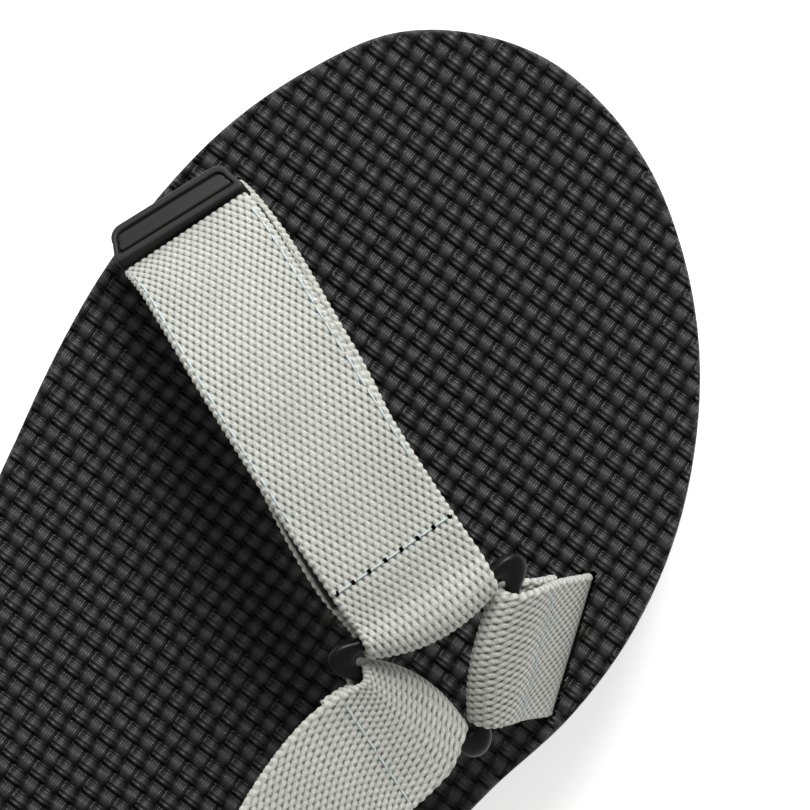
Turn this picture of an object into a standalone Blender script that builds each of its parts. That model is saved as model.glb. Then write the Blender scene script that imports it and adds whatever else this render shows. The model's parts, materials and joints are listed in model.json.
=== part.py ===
"""Strappy sport sandal for a right foot, about EU 42.

Frame: metres, +Z up, +Y from heel to toe, +X towards the outer (lateral) side of the foot.
The origin lies on the ground plane, under the middle of the flat stretch of the outsole.
Lengths below are in millimetres; they become metres where a mesh is made.
"""
import math

import bmesh
import bpy
from mathutils import Vector

MM = 0.001

# ---- driving dimensions -------------------------------------------------------------------
CLEARANCE = 0.3            # free space between touching pieces
OUTSOLE_THICKNESS = 4.5
FOOTBED_THICKNESS = 5.0
FOREFOOT_TOP = 23.0        # height of the footbed under the ball of the foot
HEEL_RISE = 8.0            # how much higher the heel stands
HEEL_CUP = 3.0             # how far the rim stands over the middle of the heel
FOREFOOT_CUP = 0.6
ARCH_RISE = 3.0            # extra height under the arch, at the inner edge
TOE_SPRING = 7.0           # how far the toe end lifts off the ground
TOE_SPRING_START = 60.0
HEEL_RAMP = (45.0, -60.0)          # where the footbed starts and ends its climb to the heel
CUP_RAMP = (20.0, -90.0)           # the same for the raised rim of the heel cup
HEEL_END_RIM = (-112.0, -137.5)    # stretches at both tips where the rim runs right across
TOE_END_RIM = (122.0, 137.5)
ARCH_MIDDLE = -15.0
ARCH_REACH = 38.0
TREAD_REACH = 118.0                # the grooves stay this close to the origin
LIP_MARGIN = 2.5                   # plain stations keep this far from the groove lips
GROOVE_PITCH = 14.0
GROOVE_HALF_WIDTH = 1.7
GROOVE_WALL = 0.6
GROOVE_DEPTH = 2.0
SOLE_COLUMNS = 6

WEBBING_WIDTH = 24.0
WEBBING_THICKNESS = 1.5
TAPE_WIDTH = 22.0
TAPE_THICKNESS = 0.8
TAPE_GAP = 0.2
SLOT_CLEARANCE = 0.4
PATH_STEP = 3.0            # spacing of the cross-sections along a strap
SEWN_TAIL = 12.0           # length of the sewn-back end of a strap
TAIL_SETTLE = 0.75         # share of the tail after which it lies flat against its strap
WRAP_STEPS = 10            # flats in the half turn of a strap round a bar
STRAIGHT_RUN = 4.0         # straight stretch of a strap beside a ring bar

FOREFOOT_RING_SIDE = 34.8  # centreline triangle, corner to corner before rounding
ANKLE_RING_SIDE = 37.0
RING_FILLET = 2.6
RING_BAR_HALF_WIDTH = 1.1
RING_BAR_HALF_THICKNESS = 1.1
RING_CORNER_EXTRA = 1.0    # the corners are wider than the bars
BAR_OFFSET = RING_BAR_HALF_THICKNESS + CLEARANCE + WEBBING_THICKNESS / 2

HINGE_DISTANCE = 8.0       # from the ring bar to the line where the flap peels
TAB_WIDTH = 25.0
TAB_OUTER_WIDTH = 20.0
TAB_LENGTH = 7.6
TAB_THICKNESS = 3.4
TOE_TAB_LIFT = 26.0        # degrees that the tab stands up from the line of its flap
ANKLE_TAB_LIFT = 6.0
HOOK_LENGTH = 12           # cross-sections covered by the hook tape
ARCH_FLAP_LENGTH = 56.0    # from the flap's end to the ring bar, on the ankle and heel straps
PAD_HALF_LENGTH = 9        # cross-sections covered by each half of the heel pad
PAD_WIDTH = 30.0
PAD_THICKNESS = 3.0

# Height of each layer's middle over the middle of the base webbing.
LOOP_LEVEL = WEBBING_THICKNESS / 2 + TAPE_GAP + TAPE_THICKNESS / 2
HOOK_LEVEL = LOOP_LEVEL + TAPE_THICKNESS + TAPE_GAP
FLAP_LEVEL = HOOK_LEVEL + TAPE_THICKNESS / 2 + TAPE_GAP + WEBBING_THICKNESS / 2

# Edge of the sole seen from above, heel tip first, up the inner side and down the outer side.
SOLE_OUTLINE = [
    (-1.0, -137.5), (-17.0, -133.0), (-31.0, -119.0), (-36.5, -95.0), (-36.5, -70.0),
    (-37.5, -40.0), (-40.5, -10.0), (-44.5, 15.0), (-48.2, 38.0), (-50.8, 56.0),
    (-51.6, 69.0), (-50.8, 84.0), (-47.5, 101.0), (-42.0, 114.5), (-32.9, 128.0),
    (-22.0, 134.7), (-10.0, 137.4), (1.5, 136.0), (13.0, 131.6), (24.5, 123.5),
    (35.0, 112.4), (43.7, 98.0), (49.2, 83.0), (51.6, 66.0), (50.6, 51.0),
    (46.5, 34.5), (43.0, 15.0), (39.5, -10.0), (37.5, -40.0), (37.0, -70.0),
    (36.0, -97.0), (29.5, -120.0), (15.0, -133.5)]

# Toe strap: distance along the strap seen from above, height, sideways shift.
TOE_STRAP_START = Vector((-44.95, 82.15, 0.0))
TOE_STRAP_DIRECTION = Vector((0.917, -0.400, 0.0))
TOE_STRAP_PROFILE = [
    (1.0, 11.5, 0.0), (1.1, 20.0, 0.2), (1.5, 24.5, 0.5), (4.0, 29.6, 0.8), (9.5, 35.4, 0.9),
    (17.5, 41.2, 0.7), (26.0, 45.5, 0.4), (38.5, 49.3, 0.0), (50.0, 50.8, -0.4),
    (62.0, 51.1, -0.5)]
TOE_BASE_HEIGHT = 29.0     # below this height the toe strap counts as its sunk end
TOE_SLOT_ACROSS = Vector((0.20, 0.98, 0.0))
TOE_LEVEL_ACROSS = Vector((0.41, 0.912, 0.0))

# ---- materials: base colour, roughness, metallic ------------------------------------------
MATERIALS = {
    "webbing": ((0.50, 0.52, 0.46, 1.0), 0.85, 0.0),
    "tape": ((0.012, 0.012, 0.013, 1.0), 0.95, 0.0),
    "footbed_eva": ((0.030, 0.030, 0.031, 1.0), 0.62, 0.0),
    "midsole_eva": ((0.022, 0.022, 0.023, 1.0), 0.75, 0.0),
    "outsole_rubber": ((0.015, 0.015, 0.016, 1.0), 0.7, 0.0),
    "moulded_plastic": ((0.020, 0.020, 0.021, 1.0), 0.4, 0.0),
    "moulded_rubber": ((0.045, 0.045, 0.047, 1.0), 0.6, 0.0),
    "neoprene": ((0.020, 0.020, 0.022, 1.0), 0.9, 0.0)}


def clear_scene():
    """Empty the file of objects."""
    for obj in list(bpy.data.objects):
        bpy.data.objects.remove(obj)


def material(name):
    """The Principled material of that name, made on first use."""
    found = bpy.data.materials.get(name)
    if found:
        return found
    colour, roughness, metallic = MATERIALS[name]
    made = bpy.data.materials.new(name)
    made.use_nodes = True
    shader = made.node_tree.nodes["Principled BSDF"]
    shader.inputs["Base Color"].default_value = colour
    shader.inputs["Roughness"].default_value = roughness
    shader.inputs["Metallic"].default_value = metallic
    made.diffuse_color = colour
    return made


def add_object(name, mesh_data, material_name, pivot=Vector((0, 0, 0))):
    """Turn a bmesh in millimetres into an object whose origin is at the pivot."""
    bmesh.ops.recalc_face_normals(mesh_data, faces=mesh_data.faces)
    for vertex in mesh_data.verts:
        vertex.co = (vertex.co - pivot) * MM
    mesh = bpy.data.meshes.new(name)
    mesh_data.to_mesh(mesh)
    mesh_data.free()
    obj = bpy.data.objects.new(name, mesh)
    obj.location = pivot * MM
    bpy.context.scene.collection.objects.link(obj)
    mesh.materials.append(material(material_name))
    mesh.shade_smooth()
    mesh.set_sharp_from_angle(angle=math.radians(35))
    return obj


def cut(obj, cutter):
    """Subtract the cutter from the object with a Boolean modifier."""
    cutter.hide_render = True
    cutter.display_type = "WIRE"
    modifier = obj.modifiers.new("cut_" + cutter.name, "BOOLEAN")
    modifier.operation = "DIFFERENCE"
    modifier.solver = "EXACT"
    modifier.object = cutter


def smoothstep(low, high, value):
    """0 below low, 1 above high, and a smooth ramp between."""
    t = min(max((value - low) / (high - low), 0.0), 1.0)
    return t * t * (3 - 2 * t)


def spline_point(before, start, end, after, t):
    """A point of the Catmull-Rom curve between start and end."""
    return 0.5 * (2 * start + (end - before) * t
                  + (2 * before - 5 * start + 4 * end - after) * t * t
                  + (3 * start - before - 3 * end + after) * t * t * t)


# ---- the sole ------------------------------------------------------------------------------
def outline_polygon(steps=10):
    """The sole's edge as a fine closed polygon through its outline points."""
    points = [Vector(point) for point in SOLE_OUTLINE]
    count = len(points)
    polygon = []
    for i in range(count):
        for k in range(steps):
            polygon.append(spline_point(points[i - 1], points[i], points[(i + 1) % count],
                                        points[(i + 2) % count], k / steps))
    return polygon


def edges_at(polygon, y):
    """The inner and outer edge of the sole at one distance along it."""
    crossings = []
    for i, start in enumerate(polygon):
        end = polygon[(i + 1) % len(polygon)]
        if (start.y <= y) != (end.y <= y):
            t = (y - start.y) / (end.y - start.y)
            crossings.append(start.x + t * (end.x - start.x))
    return min(crossings), max(crossings)


def sole_stations(count, margin=0.25):
    """Distances along the sole, closer together towards the round ends."""
    low = min(point[1] for point in SOLE_OUTLINE) + margin
    high = max(point[1] for point in SOLE_OUTLINE) - margin
    middle, half = (low + high) / 2, (high - low) / 2
    return [middle - half * math.cos(math.pi * i / (count - 1)) for i in range(count)]


def spring(y):
    """How far the toe end has lifted at this distance."""
    reach = max(point[1] for point in SOLE_OUTLINE) - TOE_SPRING_START
    return TOE_SPRING * (max(y - TOE_SPRING_START, 0.0) / reach) ** 2


def footbed_top(y, u):
    """Height of the surface that the foot stands on; u runs from -1 inner to 1 outer."""
    level = FOREFOOT_TOP + HEEL_RISE * smoothstep(*HEEL_RAMP, y) + spring(y)
    cup = HEEL_CUP * smoothstep(*CUP_RAMP, y) + FOREFOOT_CUP
    rim = max(abs(u) ** 4, smoothstep(*HEEL_END_RIM, y), smoothstep(*TOE_END_RIM, y))
    arch = ARCH_RISE * math.exp(-((y - ARCH_MIDDLE) / ARCH_REACH) ** 2) * max(-u, 0.0) ** 2
    return level + cup * rim + arch


def footbed_bottom(y, u):
    """Underside of the footbed, which follows its length but stays flat across."""
    level = FOREFOOT_TOP + HEEL_RISE * smoothstep(*HEEL_RAMP, y) + spring(y)
    return level - FOOTBED_THICKNESS


def midsole_top(y, u):
    return footbed_bottom(y, u) - CLEARANCE


def outsole_top(y, u):
    return OUTSOLE_THICKNESS + spring(y)


def midsole_bottom(y, u):
    return outsole_top(y, u) + CLEARANCE


def groove_centres():
    """Middles of the cross grooves; the origin lies in the middle of a lug."""
    span = int(TREAD_REACH / GROOVE_PITCH)
    return [(k + 0.5) * GROOVE_PITCH for k in range(-span - 1, span + 1)]


def outsole_bottom(y, u):
    """The tread: flat lugs with a groove between each two."""
    distance = min(abs(y - centre) for centre in groove_centres())
    depth = GROOVE_DEPTH * smoothstep(GROOVE_HALF_WIDTH + GROOVE_WALL, GROOVE_HALF_WIDTH, distance)
    return spring(y) + depth


def outsole_stations():
    """Both lips of every groove, and the plain stations that are clear of them."""
    lips = []
    for centre in groove_centres():
        for offset in (GROOVE_HALF_WIDTH, GROOVE_HALF_WIDTH + GROOVE_WALL):
            lips += [centre - offset, centre + offset]
    plain = [y for y in sole_stations(26) if min(abs(y - lip) for lip in lips) > LIP_MARGIN]
    return sorted(lips + plain)


def sole_layer(name, stations, bottom, top, material_name, inset=0.0, columns=SOLE_COLUMNS):
    """One layer of the sole as a closed grid between two height functions."""
    polygon = outline_polygon()
    mesh_data = bmesh.new()
    rows = []
    for y in stations:
        inner, outer = edges_at(polygon, y)
        row = []
        for j in range(columns + 1):
            u = -1 + 2 * j / columns
            x = (inner + outer) / 2 + u * ((outer - inner) / 2 - inset)
            low = mesh_data.verts.new((x, y, bottom(y, u)))
            high = mesh_data.verts.new((x, y, top(y, u)))
            row.append((low, high))
        rows.append(row)
    for first, second in zip(rows, rows[1:]):
        for j in range(columns):
            for side in (0, 1):
                mesh_data.faces.new((first[j][side], first[j + 1][side],
                                     second[j + 1][side], second[j][side]))
        for j in (0, columns):
            mesh_data.faces.new((first[j][0], second[j][0], second[j][1], first[j][1]))
    for row in (rows[0], rows[-1]):
        for j in range(columns):
            mesh_data.faces.new((row[j][0], row[j + 1][0], row[j + 1][1], row[j][1]))
    return add_object(name, mesh_data, material_name)


# ---- straps --------------------------------------------------------------------------------
class Section:
    """One cross-section of a strap: its middle, width direction and outward normal."""

    def __init__(self, middle, across, normal):
        self.middle = middle
        self.across = across
        self.normal = normal

    def raised(self, distance):
        """The same section moved along its normal."""
        return Section(self.middle + self.normal * distance, self.across, self.normal)


def curve_sections(points, acrosses, step=PATH_STEP):
    """Evenly spaced sections along the smooth curve through the points."""
    dense = []
    ends = [2 * points[0] - points[1]] + list(points) + [2 * points[-1] - points[-2]]
    for i in range(1, len(ends) - 2):
        for k in range(12):
            t = k / 12
            middle = spline_point(ends[i - 1], ends[i], ends[i + 1], ends[i + 2], t)
            dense.append((middle, acrosses[i - 1].lerp(acrosses[i], t)))
    dense.append((points[-1].copy(), acrosses[-1].copy()))
    lengths = [0.0]
    for first, second in zip(dense, dense[1:]):
        lengths.append(lengths[-1] + (second[0] - first[0]).length)
    count = max(int(lengths[-1] / step), 2)
    places = []
    j = 0
    for i in range(count + 1):
        target = lengths[-1] * i / count
        while j < len(lengths) - 2 and lengths[j + 1] < target:
            j += 1
        t = (target - lengths[j]) / (lengths[j + 1] - lengths[j])
        places.append((dense[j][0].lerp(dense[j + 1][0], t), dense[j][1].lerp(dense[j + 1][1], t)))
    sections = []
    for i, (middle, across) in enumerate(places):
        tangent = places[min(i + 1, count)][0] - places[max(i - 1, 0)][0]
        across = (across - tangent * (across.dot(tangent) / tangent.length_squared)).normalized()
        sections.append(Section(middle, across, tangent.cross(across).normalized()))
    return sections


def ribbon(name, sections, width, thickness, material_name, pivot=Vector((0, 0, 0))):
    """A flat strip through the sections, closed at both ends."""
    mesh_data = bmesh.new()
    rings = []
    for section in sections:
        side = section.across * width / 2
        lift = section.normal * thickness / 2
        corners = (side + lift, lift - side, -side - lift, side - lift)
        rings.append([mesh_data.verts.new(section.middle + corner) for corner in corners])
    for first, second in zip(rings, rings[1:]):
        # The same diagonal on both faces keeps the layers of a twisted strap parallel.
        for a, b in ((0, 1), (3, 2)):
            mesh_data.faces.new((first[a], first[b], second[b]))
            mesh_data.faces.new((first[a], second[b], second[a]))
        for a, b in ((1, 2), (3, 0)):
            mesh_data.faces.new((first[a], first[b], second[b], second[a]))
    mesh_data.faces.new(rings[0])
    mesh_data.faces.new(rings[-1])
    return add_object(name, mesh_data, material_name, pivot)


def webbing(name, sections, pivot=Vector((0, 0, 0))):
    return ribbon(name, sections, WEBBING_WIDTH, WEBBING_THICKNESS, "webbing", pivot)


def slot_cutter(name, sections, top):
    """A cutter around the sunk end of a strap, up to the given height."""
    sunk = [section for section in sections if section.middle.z < top]
    down = (sunk[0].middle - sunk[1].middle).normalized()
    foot = Section(sunk[0].middle + down * SLOT_CLEARANCE, sunk[0].across, sunk[0].normal)
    return ribbon(name, [foot] + sunk[1:], WEBBING_WIDTH + 2 * SLOT_CLEARANCE,
                  WEBBING_THICKNESS + 2 * SLOT_CLEARANCE, "webbing")


def bar_wrap(bar, across, normal, forward):
    """Sections of a half turn round a ring bar, from its inner face to its outer face."""
    sections = []
    for i in range(1, WRAP_STEPS):
        angle = math.pi * i / WRAP_STEPS
        radial = forward * math.sin(angle) - normal * math.cos(angle)
        sections.append(Section(bar + radial * BAR_OFFSET, across, radial))
    return sections


def sewn_end(bar, main):
    """The half turn round the bar and the short tail sewn under the start of a strap.

    The main run starts over the bar; the tail lies on its inner side.
    """
    across, normal = main[0].across, main[0].normal
    backward = normal.cross(across).normalized()
    tail = []
    for share in (1.0, 0.75, 0.5, 0.25, 0.0):
        reach = share * SEWN_TAIL
        under = main[min(int(round(reach / PATH_STEP)), len(main) - 1)]
        touching = under.middle - under.normal * (WEBBING_THICKNESS + CLEARANCE)
        loose = bar + backward * -reach - normal * BAR_OFFSET
        mix = smoothstep(0.0, TAIL_SETTLE, share)
        tail.append(Section(loose.lerp(touching, mix), under.across,
                            -(normal.lerp(under.normal, mix)).normalized()))
    return tail + bar_wrap(bar, across, normal, backward)


class Ring:
    """A triangular ring given by its middle and two directions in its plane."""

    def __init__(self, name, length, middle, up, normal):
        self.name = name
        self.length = length
        self.middle = middle
        self.normal = normal.normalized()
        self.up = (up - self.normal * up.dot(self.normal)).normalized()
        self.side = self.up.cross(self.normal)

    def out(self, index):
        """Direction from the middle to the middle of one of the three bars."""
        angle = math.radians(-90 + 120 * index)
        return self.side * math.cos(angle) + self.up * math.sin(angle)

    def bar(self, index):
        """Middle of one of the three bars."""
        return self.middle + self.out(index) * (self.length / (2 * math.sqrt(3)))

    def along(self, index):
        """Direction of one of the three bars."""
        return self.normal.cross(self.out(index)).normalized()

    def build(self):
        """Sweep an eight-sided section round the three bars and the wide corners."""
        mesh_data = bmesh.new()
        reach = self.length / math.sqrt(3) - 2 * RING_FILLET
        loops = []
        for corner in range(3):
            start = math.radians(-30 + 120 * corner)
            centre_out = self.side * math.cos(start) + self.up * math.sin(start)
            centre = self.middle + centre_out * reach
            for k in range(7):
                swing = math.radians(-60 + 20 * k)
                angle = start + swing
                radial = self.side * math.cos(angle) + self.up * math.sin(angle)
                extra = RING_CORNER_EXTRA * math.cos(1.5 * swing) ** 2
                middle = centre + radial * (RING_FILLET + extra)
                half_width = RING_BAR_HALF_WIDTH + extra
                loops.append(self.section(mesh_data, middle, radial, half_width))
        for i, first in enumerate(loops):
            second = loops[(i + 1) % len(loops)]
            for j in range(8):
                k = (j + 1) % 8
                mesh_data.faces.new((first[j], first[k], second[k], second[j]))
        return add_object(self.name, mesh_data, "moulded_plastic")

    def section(self, mesh_data, middle, radial, half_width):
        """Eight points round the bar at one place."""
        points = []
        for j in range(8):
            angle = math.radians(22.5 + 45 * j)
            sideways = radial * (half_width * math.cos(angle) / math.cos(math.radians(22.5)))
            height = self.normal * (RING_BAR_HALF_THICKNESS * math.sin(angle)
                                    / math.cos(math.radians(22.5)))
            points.append(mesh_data.verts.new(middle + sideways + height))
        return points


def pull_tab(name, root, outward, pivot):
    """The moulded tab on the end of a flap: a tapered plate with round outer corners."""
    half, outer = TAB_WIDTH / 2, TAB_OUTER_WIDTH / 2
    corner = TAB_LENGTH - 2.2
    outline = [(0.0, -half), (corner, -outer - 0.8), (corner + 1.5, -outer + 0.4),
               (TAB_LENGTH, -outer + 2.4), (TAB_LENGTH, outer - 2.4),
               (corner + 1.5, outer - 0.4), (corner, outer + 0.8), (0.0, half)]
    mesh_data = bmesh.new()
    rims = []
    for level in (-TAB_THICKNESS / 2, TAB_THICKNESS / 2):
        rim = [mesh_data.verts.new(root.middle + outward * x + root.across * y
                                   + root.normal * level) for x, y in outline]
        mesh_data.faces.new(rim)
        rims.append(rim)
    for i in range(len(outline)):
        k = (i + 1) % len(outline)
        mesh_data.faces.new((rims[0][i], rims[0][k], rims[1][k], rims[1][i]))
    return add_object(name, mesh_data, "moulded_rubber", pivot)


class Closure:
    """A strap that passes a ring bar, folds back on itself and is held by hook and loop."""

    def __init__(self, name, base, bar, flap_start, loop_start, hook_length, tab_lift):
        self.name = name
        self.base = base
        self.bar = bar
        self.flap_start = flap_start
        self.loop_start = loop_start
        self.hook_length = hook_length
        self.tab_lift = tab_lift
        self.spacing = (base[1].middle - base[0].middle).length
        self.hinge = len(base) - 1 - round(HINGE_DISTANCE / self.spacing)

    def level(self, index):
        """Height of the flap's middle over the base, rising to pass over the ring bar."""
        share = smoothstep(self.hinge - 2, len(self.base) - 1, index)
        return FLAP_LEVEL + (2 * BAR_OFFSET - FLAP_LEVEL) * share

    def top_layer(self):
        """The flap's sections along the base, from the tab to the ring bar."""
        return [section.raised(self.level(i)) for i, section in enumerate(self.base)]

    def pivot(self):
        """The peel line: the outer face of the flap where it leaves the ring."""
        return self.top_layer()[self.hinge].raised(WEBBING_THICKNESS / 2)

    def build(self, before=()):
        """Make the base strap, both tapes, the flap and its tab."""
        top = self.top_layer()
        last = self.base[-1]
        share = CLEARANCE / self.spacing
        lip = Section(top[self.hinge].middle.lerp(top[self.hinge + 1].middle, share),
                      top[self.hinge].across, top[self.hinge].normal)
        returned = [lip] + top[self.hinge + 1:]
        turn = bar_wrap(self.bar, last.across, last.normal, last.across.cross(last.normal))
        flipped = [Section(s.middle, s.across, -s.normal) for s in turn]
        back = [Section(s.middle, s.across, -s.normal) for s in reversed(returned)]
        webbing(self.name + "_strap_base", list(before) + self.base + flipped + back)
        pivot = self.pivot().middle
        tape = self.base[self.loop_start:self.hinge + 1]
        ribbon(self.name + "_loop_patch", [s.raised(LOOP_LEVEL) for s in tape],
               TAPE_WIDTH, TAPE_THICKNESS, "tape")
        hook = self.base[self.flap_start:self.flap_start + self.hook_length]
        ribbon(self.name + "_hook_patch", [s.raised(HOOK_LEVEL) for s in hook],
               TAPE_WIDTH, TAPE_THICKNESS, "tape", pivot)
        webbing(self.name + "_strap_flap", top[self.flap_start:self.hinge + 1], pivot)
        end = top[self.flap_start]
        along = (end.middle - top[self.flap_start + 1].middle).normalized()
        lift = math.radians(self.tab_lift)
        outward = along * math.cos(lift) + end.normal * math.sin(lift)
        raised = end.normal * math.cos(lift) - along * math.sin(lift)
        gap = CLEARANCE + TAB_THICKNESS / 2 * math.sin(lift)
        root = Section(end.middle + outward * gap, end.across, raised)
        pull_tab(self.name + "_pull_tab", root, outward, pivot)


# ---- layout --------------------------------------------------------------------------------
FOREFOOT_RING = Ring("forefoot_ring", FOREFOOT_RING_SIDE, Vector((28.0, 48.2, 47.0)),
                     Vector((1.0, 14.3, 1.6)), Vector((0.584, -0.135, 0.80)))
LATERAL_RING = Ring("lateral_ankle_ring", ANKLE_RING_SIDE, Vector((34.6, -50.0, 82.0)),
                    Vector((0.0, 0.0, 1.0)), Vector((0.97, 0.05, 0.22)))
MEDIAL_RING = Ring("medial_ankle_ring", ANKLE_RING_SIDE, Vector((-32.6, -46.0, 82.0)),
                   Vector((0.0, 0.0, 1.0)), Vector((-0.97, 0.05, 0.22)))


def bar_towards(ring, direction):
    """Index of the ring's bar that faces the direction."""
    return max(range(3), key=lambda index: ring.out(index).dot(direction))


def oriented(direction, reference):
    """The direction or its opposite, whichever agrees with the reference."""
    return direction if direction.dot(reference) > 0 else -direction


def beside_bar(bar, across, neighbour, outward, side):
    """Section of a strap beside a bar, and a point a little way out, towards its neighbour.

    The side is 1 where the strap lies on the bar's outer face, and -1 on its inner face.
    """
    away = neighbour - bar
    away = (away - across * away.dot(across)).normalized()
    normal = oriented(away.cross(across), outward)
    touch = Section(bar + normal * (BAR_OFFSET * side), across, normal)
    return touch, touch.middle + away * STRAIGHT_RUN


def toe_closure():
    """The strap over the toes, from its slot at the inner edge to the forefoot ring."""
    index = bar_towards(FOREFOOT_RING, -TOE_STRAP_DIRECTION)
    bar = FOREFOOT_RING.bar(index)
    at_ring = oriented(FOREFOOT_RING.along(index), TOE_LEVEL_ACROSS)
    points, acrosses = [], []
    for distance, height, shift in TOE_STRAP_PROFILE:
        across = TOE_SLOT_ACROSS.lerp(TOE_LEVEL_ACROSS, smoothstep(1.0, 10.0, distance))
        across = across.lerp(at_ring, smoothstep(25.0, 70.0, distance))
        place = TOE_STRAP_START + TOE_STRAP_DIRECTION * distance + across * shift
        points.append(Vector((place.x, place.y, place.z + height)))
        acrosses.append(across)
    touch, approach = beside_bar(bar, at_ring, points[-1], Vector((0.0, 0.0, 1.0)), -1)
    sections = curve_sections(points + [approach, touch.middle], acrosses + [at_ring, at_ring])
    sections[-1] = touch
    first = next(i for i, s in enumerate(sections) if s.middle.z > TOE_BASE_HEIGHT)
    return sections[:first], Closure("toe", sections[first:], bar, 0, 1, HOOK_LENGTH, TOE_TAB_LIFT)


def arch_closure(name, leaving, points, middle_across):
    """A strap from the medial ankle ring, round the foot, to the lateral ankle ring."""
    start_index = bar_towards(MEDIAL_RING, leaving)
    end_index = bar_towards(LATERAL_RING, leaving)
    start_bar, end_bar = MEDIAL_RING.bar(start_index), LATERAL_RING.bar(end_index)
    start_across = oriented(MEDIAL_RING.along(start_index), middle_across)
    end_across = oriented(LATERAL_RING.along(end_index), middle_across)
    leave, after = beside_bar(start_bar, start_across, points[0], MEDIAL_RING.normal, 1)
    touch, approach = beside_bar(end_bar, end_across, points[-1], LATERAL_RING.normal, -1)
    path = [leave.middle, after] + points + [approach, touch.middle]
    acrosses = []
    for i in range(len(path)):
        share = min(max(2 * (i - 1) / (len(path) - 3), 0.0), 2.0)
        if share < 1:
            acrosses.append(start_across.lerp(middle_across, smoothstep(0, 1, share)))
        else:
            acrosses.append(middle_across.lerp(end_across, smoothstep(1, 2, share)))
    sections = curve_sections(path, acrosses)
    sections[0], sections[-1] = leave, touch
    flap_start = len(sections) - round(ARCH_FLAP_LENGTH / PATH_STEP)
    closure = Closure(name, sections, end_bar, flap_start, flap_start - 2, HOOK_LENGTH,
                      ANKLE_TAB_LIFT)
    closure.build(before=sewn_end(start_bar, sections))
    return closure


ANKLE_POINTS = [Vector((-31.0, -28.5, 96.0)), Vector((-24.5, -23.5, 100.5)),
                Vector((-13.5, -20.5, 103.5)), Vector((0.0, -18.5, 104.5)),
                Vector((13.5, -19.5, 103.5)), Vector((25.0, -23.5, 100.0)),
                Vector((32.5, -30.5, 95.0))]
HEEL_POINTS = [Vector((-33.5, -72.0, 92.0)), Vector((-31.0, -96.0, 94.0)),
               Vector((-20.0, -118.0, 95.0)), Vector((0.0, -127.0, 95.5)),
               Vector((20.5, -119.0, 95.0)), Vector((32.0, -99.0, 94.0)),
               Vector((35.5, -77.0, 92.0))]


def anchor_sections(ring, index, points, slot_across):
    """A short strap from over a ring bar down into its slot in the footbed."""
    bar = ring.bar(index)
    across = ring.along(index)
    if (points[0] - bar).cross(across).dot(ring.normal) < 0:
        across = -across
    leave, after = beside_bar(bar, across, points[0], ring.normal, 1)
    acrosses = [across, across]
    for i in range(len(points)):
        share = smoothstep(0.0, 1.0, (i + 1) / (len(points) - 1))
        acrosses.append(across.lerp(oriented(slot_across, across), share))
    sections = curve_sections([leave.middle, after] + points, acrosses)
    sections[0] = leave
    return bar, sections


def build_anchor(name, ring, leaving, points, slot_across):
    """Make the anchor strap and return the sections of its sunk end, lowest first."""
    index = bar_towards(ring, leaving)
    bar, main = anchor_sections(ring, index, points, slot_across)
    webbing(name, sewn_end(bar, main) + main)
    return list(reversed(main))


def build_instep():
    """The strap from the forefoot ring back to the lateral anchor strap."""
    index = bar_towards(FOREFOOT_RING, Vector((0.0, -1.0, 0.0)))
    bar = FOREFOOT_RING.bar(index)
    at_ring = oriented(FOREFOOT_RING.along(index), Vector((1.0, 0.0, -0.7)))
    points = [Vector((25.8, 24.0, 52.0)), Vector((25.2, 8.0, 57.0)),
              Vector((28.5, -8.0, 59.5)), Vector((35.0, -24.0, 59.0)),
              Vector((39.2, -38.0, 57.0)), Vector((39.3, -64.0, 55.5))]
    acrosses = [at_ring, at_ring, Vector((0.93, -0.02, -0.37)),
                Vector((0.90, 0.03, -0.43)), Vector((0.72, 0.1, -0.69)),
                Vector((0.25, 0.1, -0.95)), Vector((-0.14, 0.05, -0.99)),
                Vector((-0.14, 0.05, -0.99))]
    leave, after = beside_bar(bar, at_ring, points[0], FOREFOOT_RING.normal, 1)
    main = curve_sections([leave.middle, after] + points, acrosses)
    main[0] = leave
    webbing("instep_strap", sewn_end(bar, main) + main)


def build_heel_pad(closure):
    """A soft pad on the inner side of the heel strap."""
    middle = len(closure.base) // 2
    covered = closure.base[middle - PAD_HALF_LENGTH:middle + PAD_HALF_LENGTH]
    level = -(WEBBING_THICKNESS / 2 + CLEARANCE + PAD_THICKNESS / 2)
    ribbon("heel_pad", [s.raised(level) for s in covered], PAD_WIDTH, PAD_THICKNESS, "neoprene")


def build_sole(sunk_ends):
    """The three layers of the sole, with a slot for every sunk strap end."""
    sole_layer("outsole", outsole_stations(), outsole_bottom, outsole_top, "outsole_rubber",
               columns=2)
    midsole = sole_layer("midsole", sole_stations(30), midsole_bottom, midsole_top,
                         "midsole_eva", inset=0.4, columns=4)
    footbed = sole_layer("footbed", sole_stations(38), footbed_bottom, footbed_top,
                         "footbed_eva")
    for i, (sections, top) in enumerate(sunk_ends):
        cutter = slot_cutter("slot_cutter_" + str(i), sections, top)
        cut(footbed, cutter)
        cut(midsole, cutter)


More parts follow.
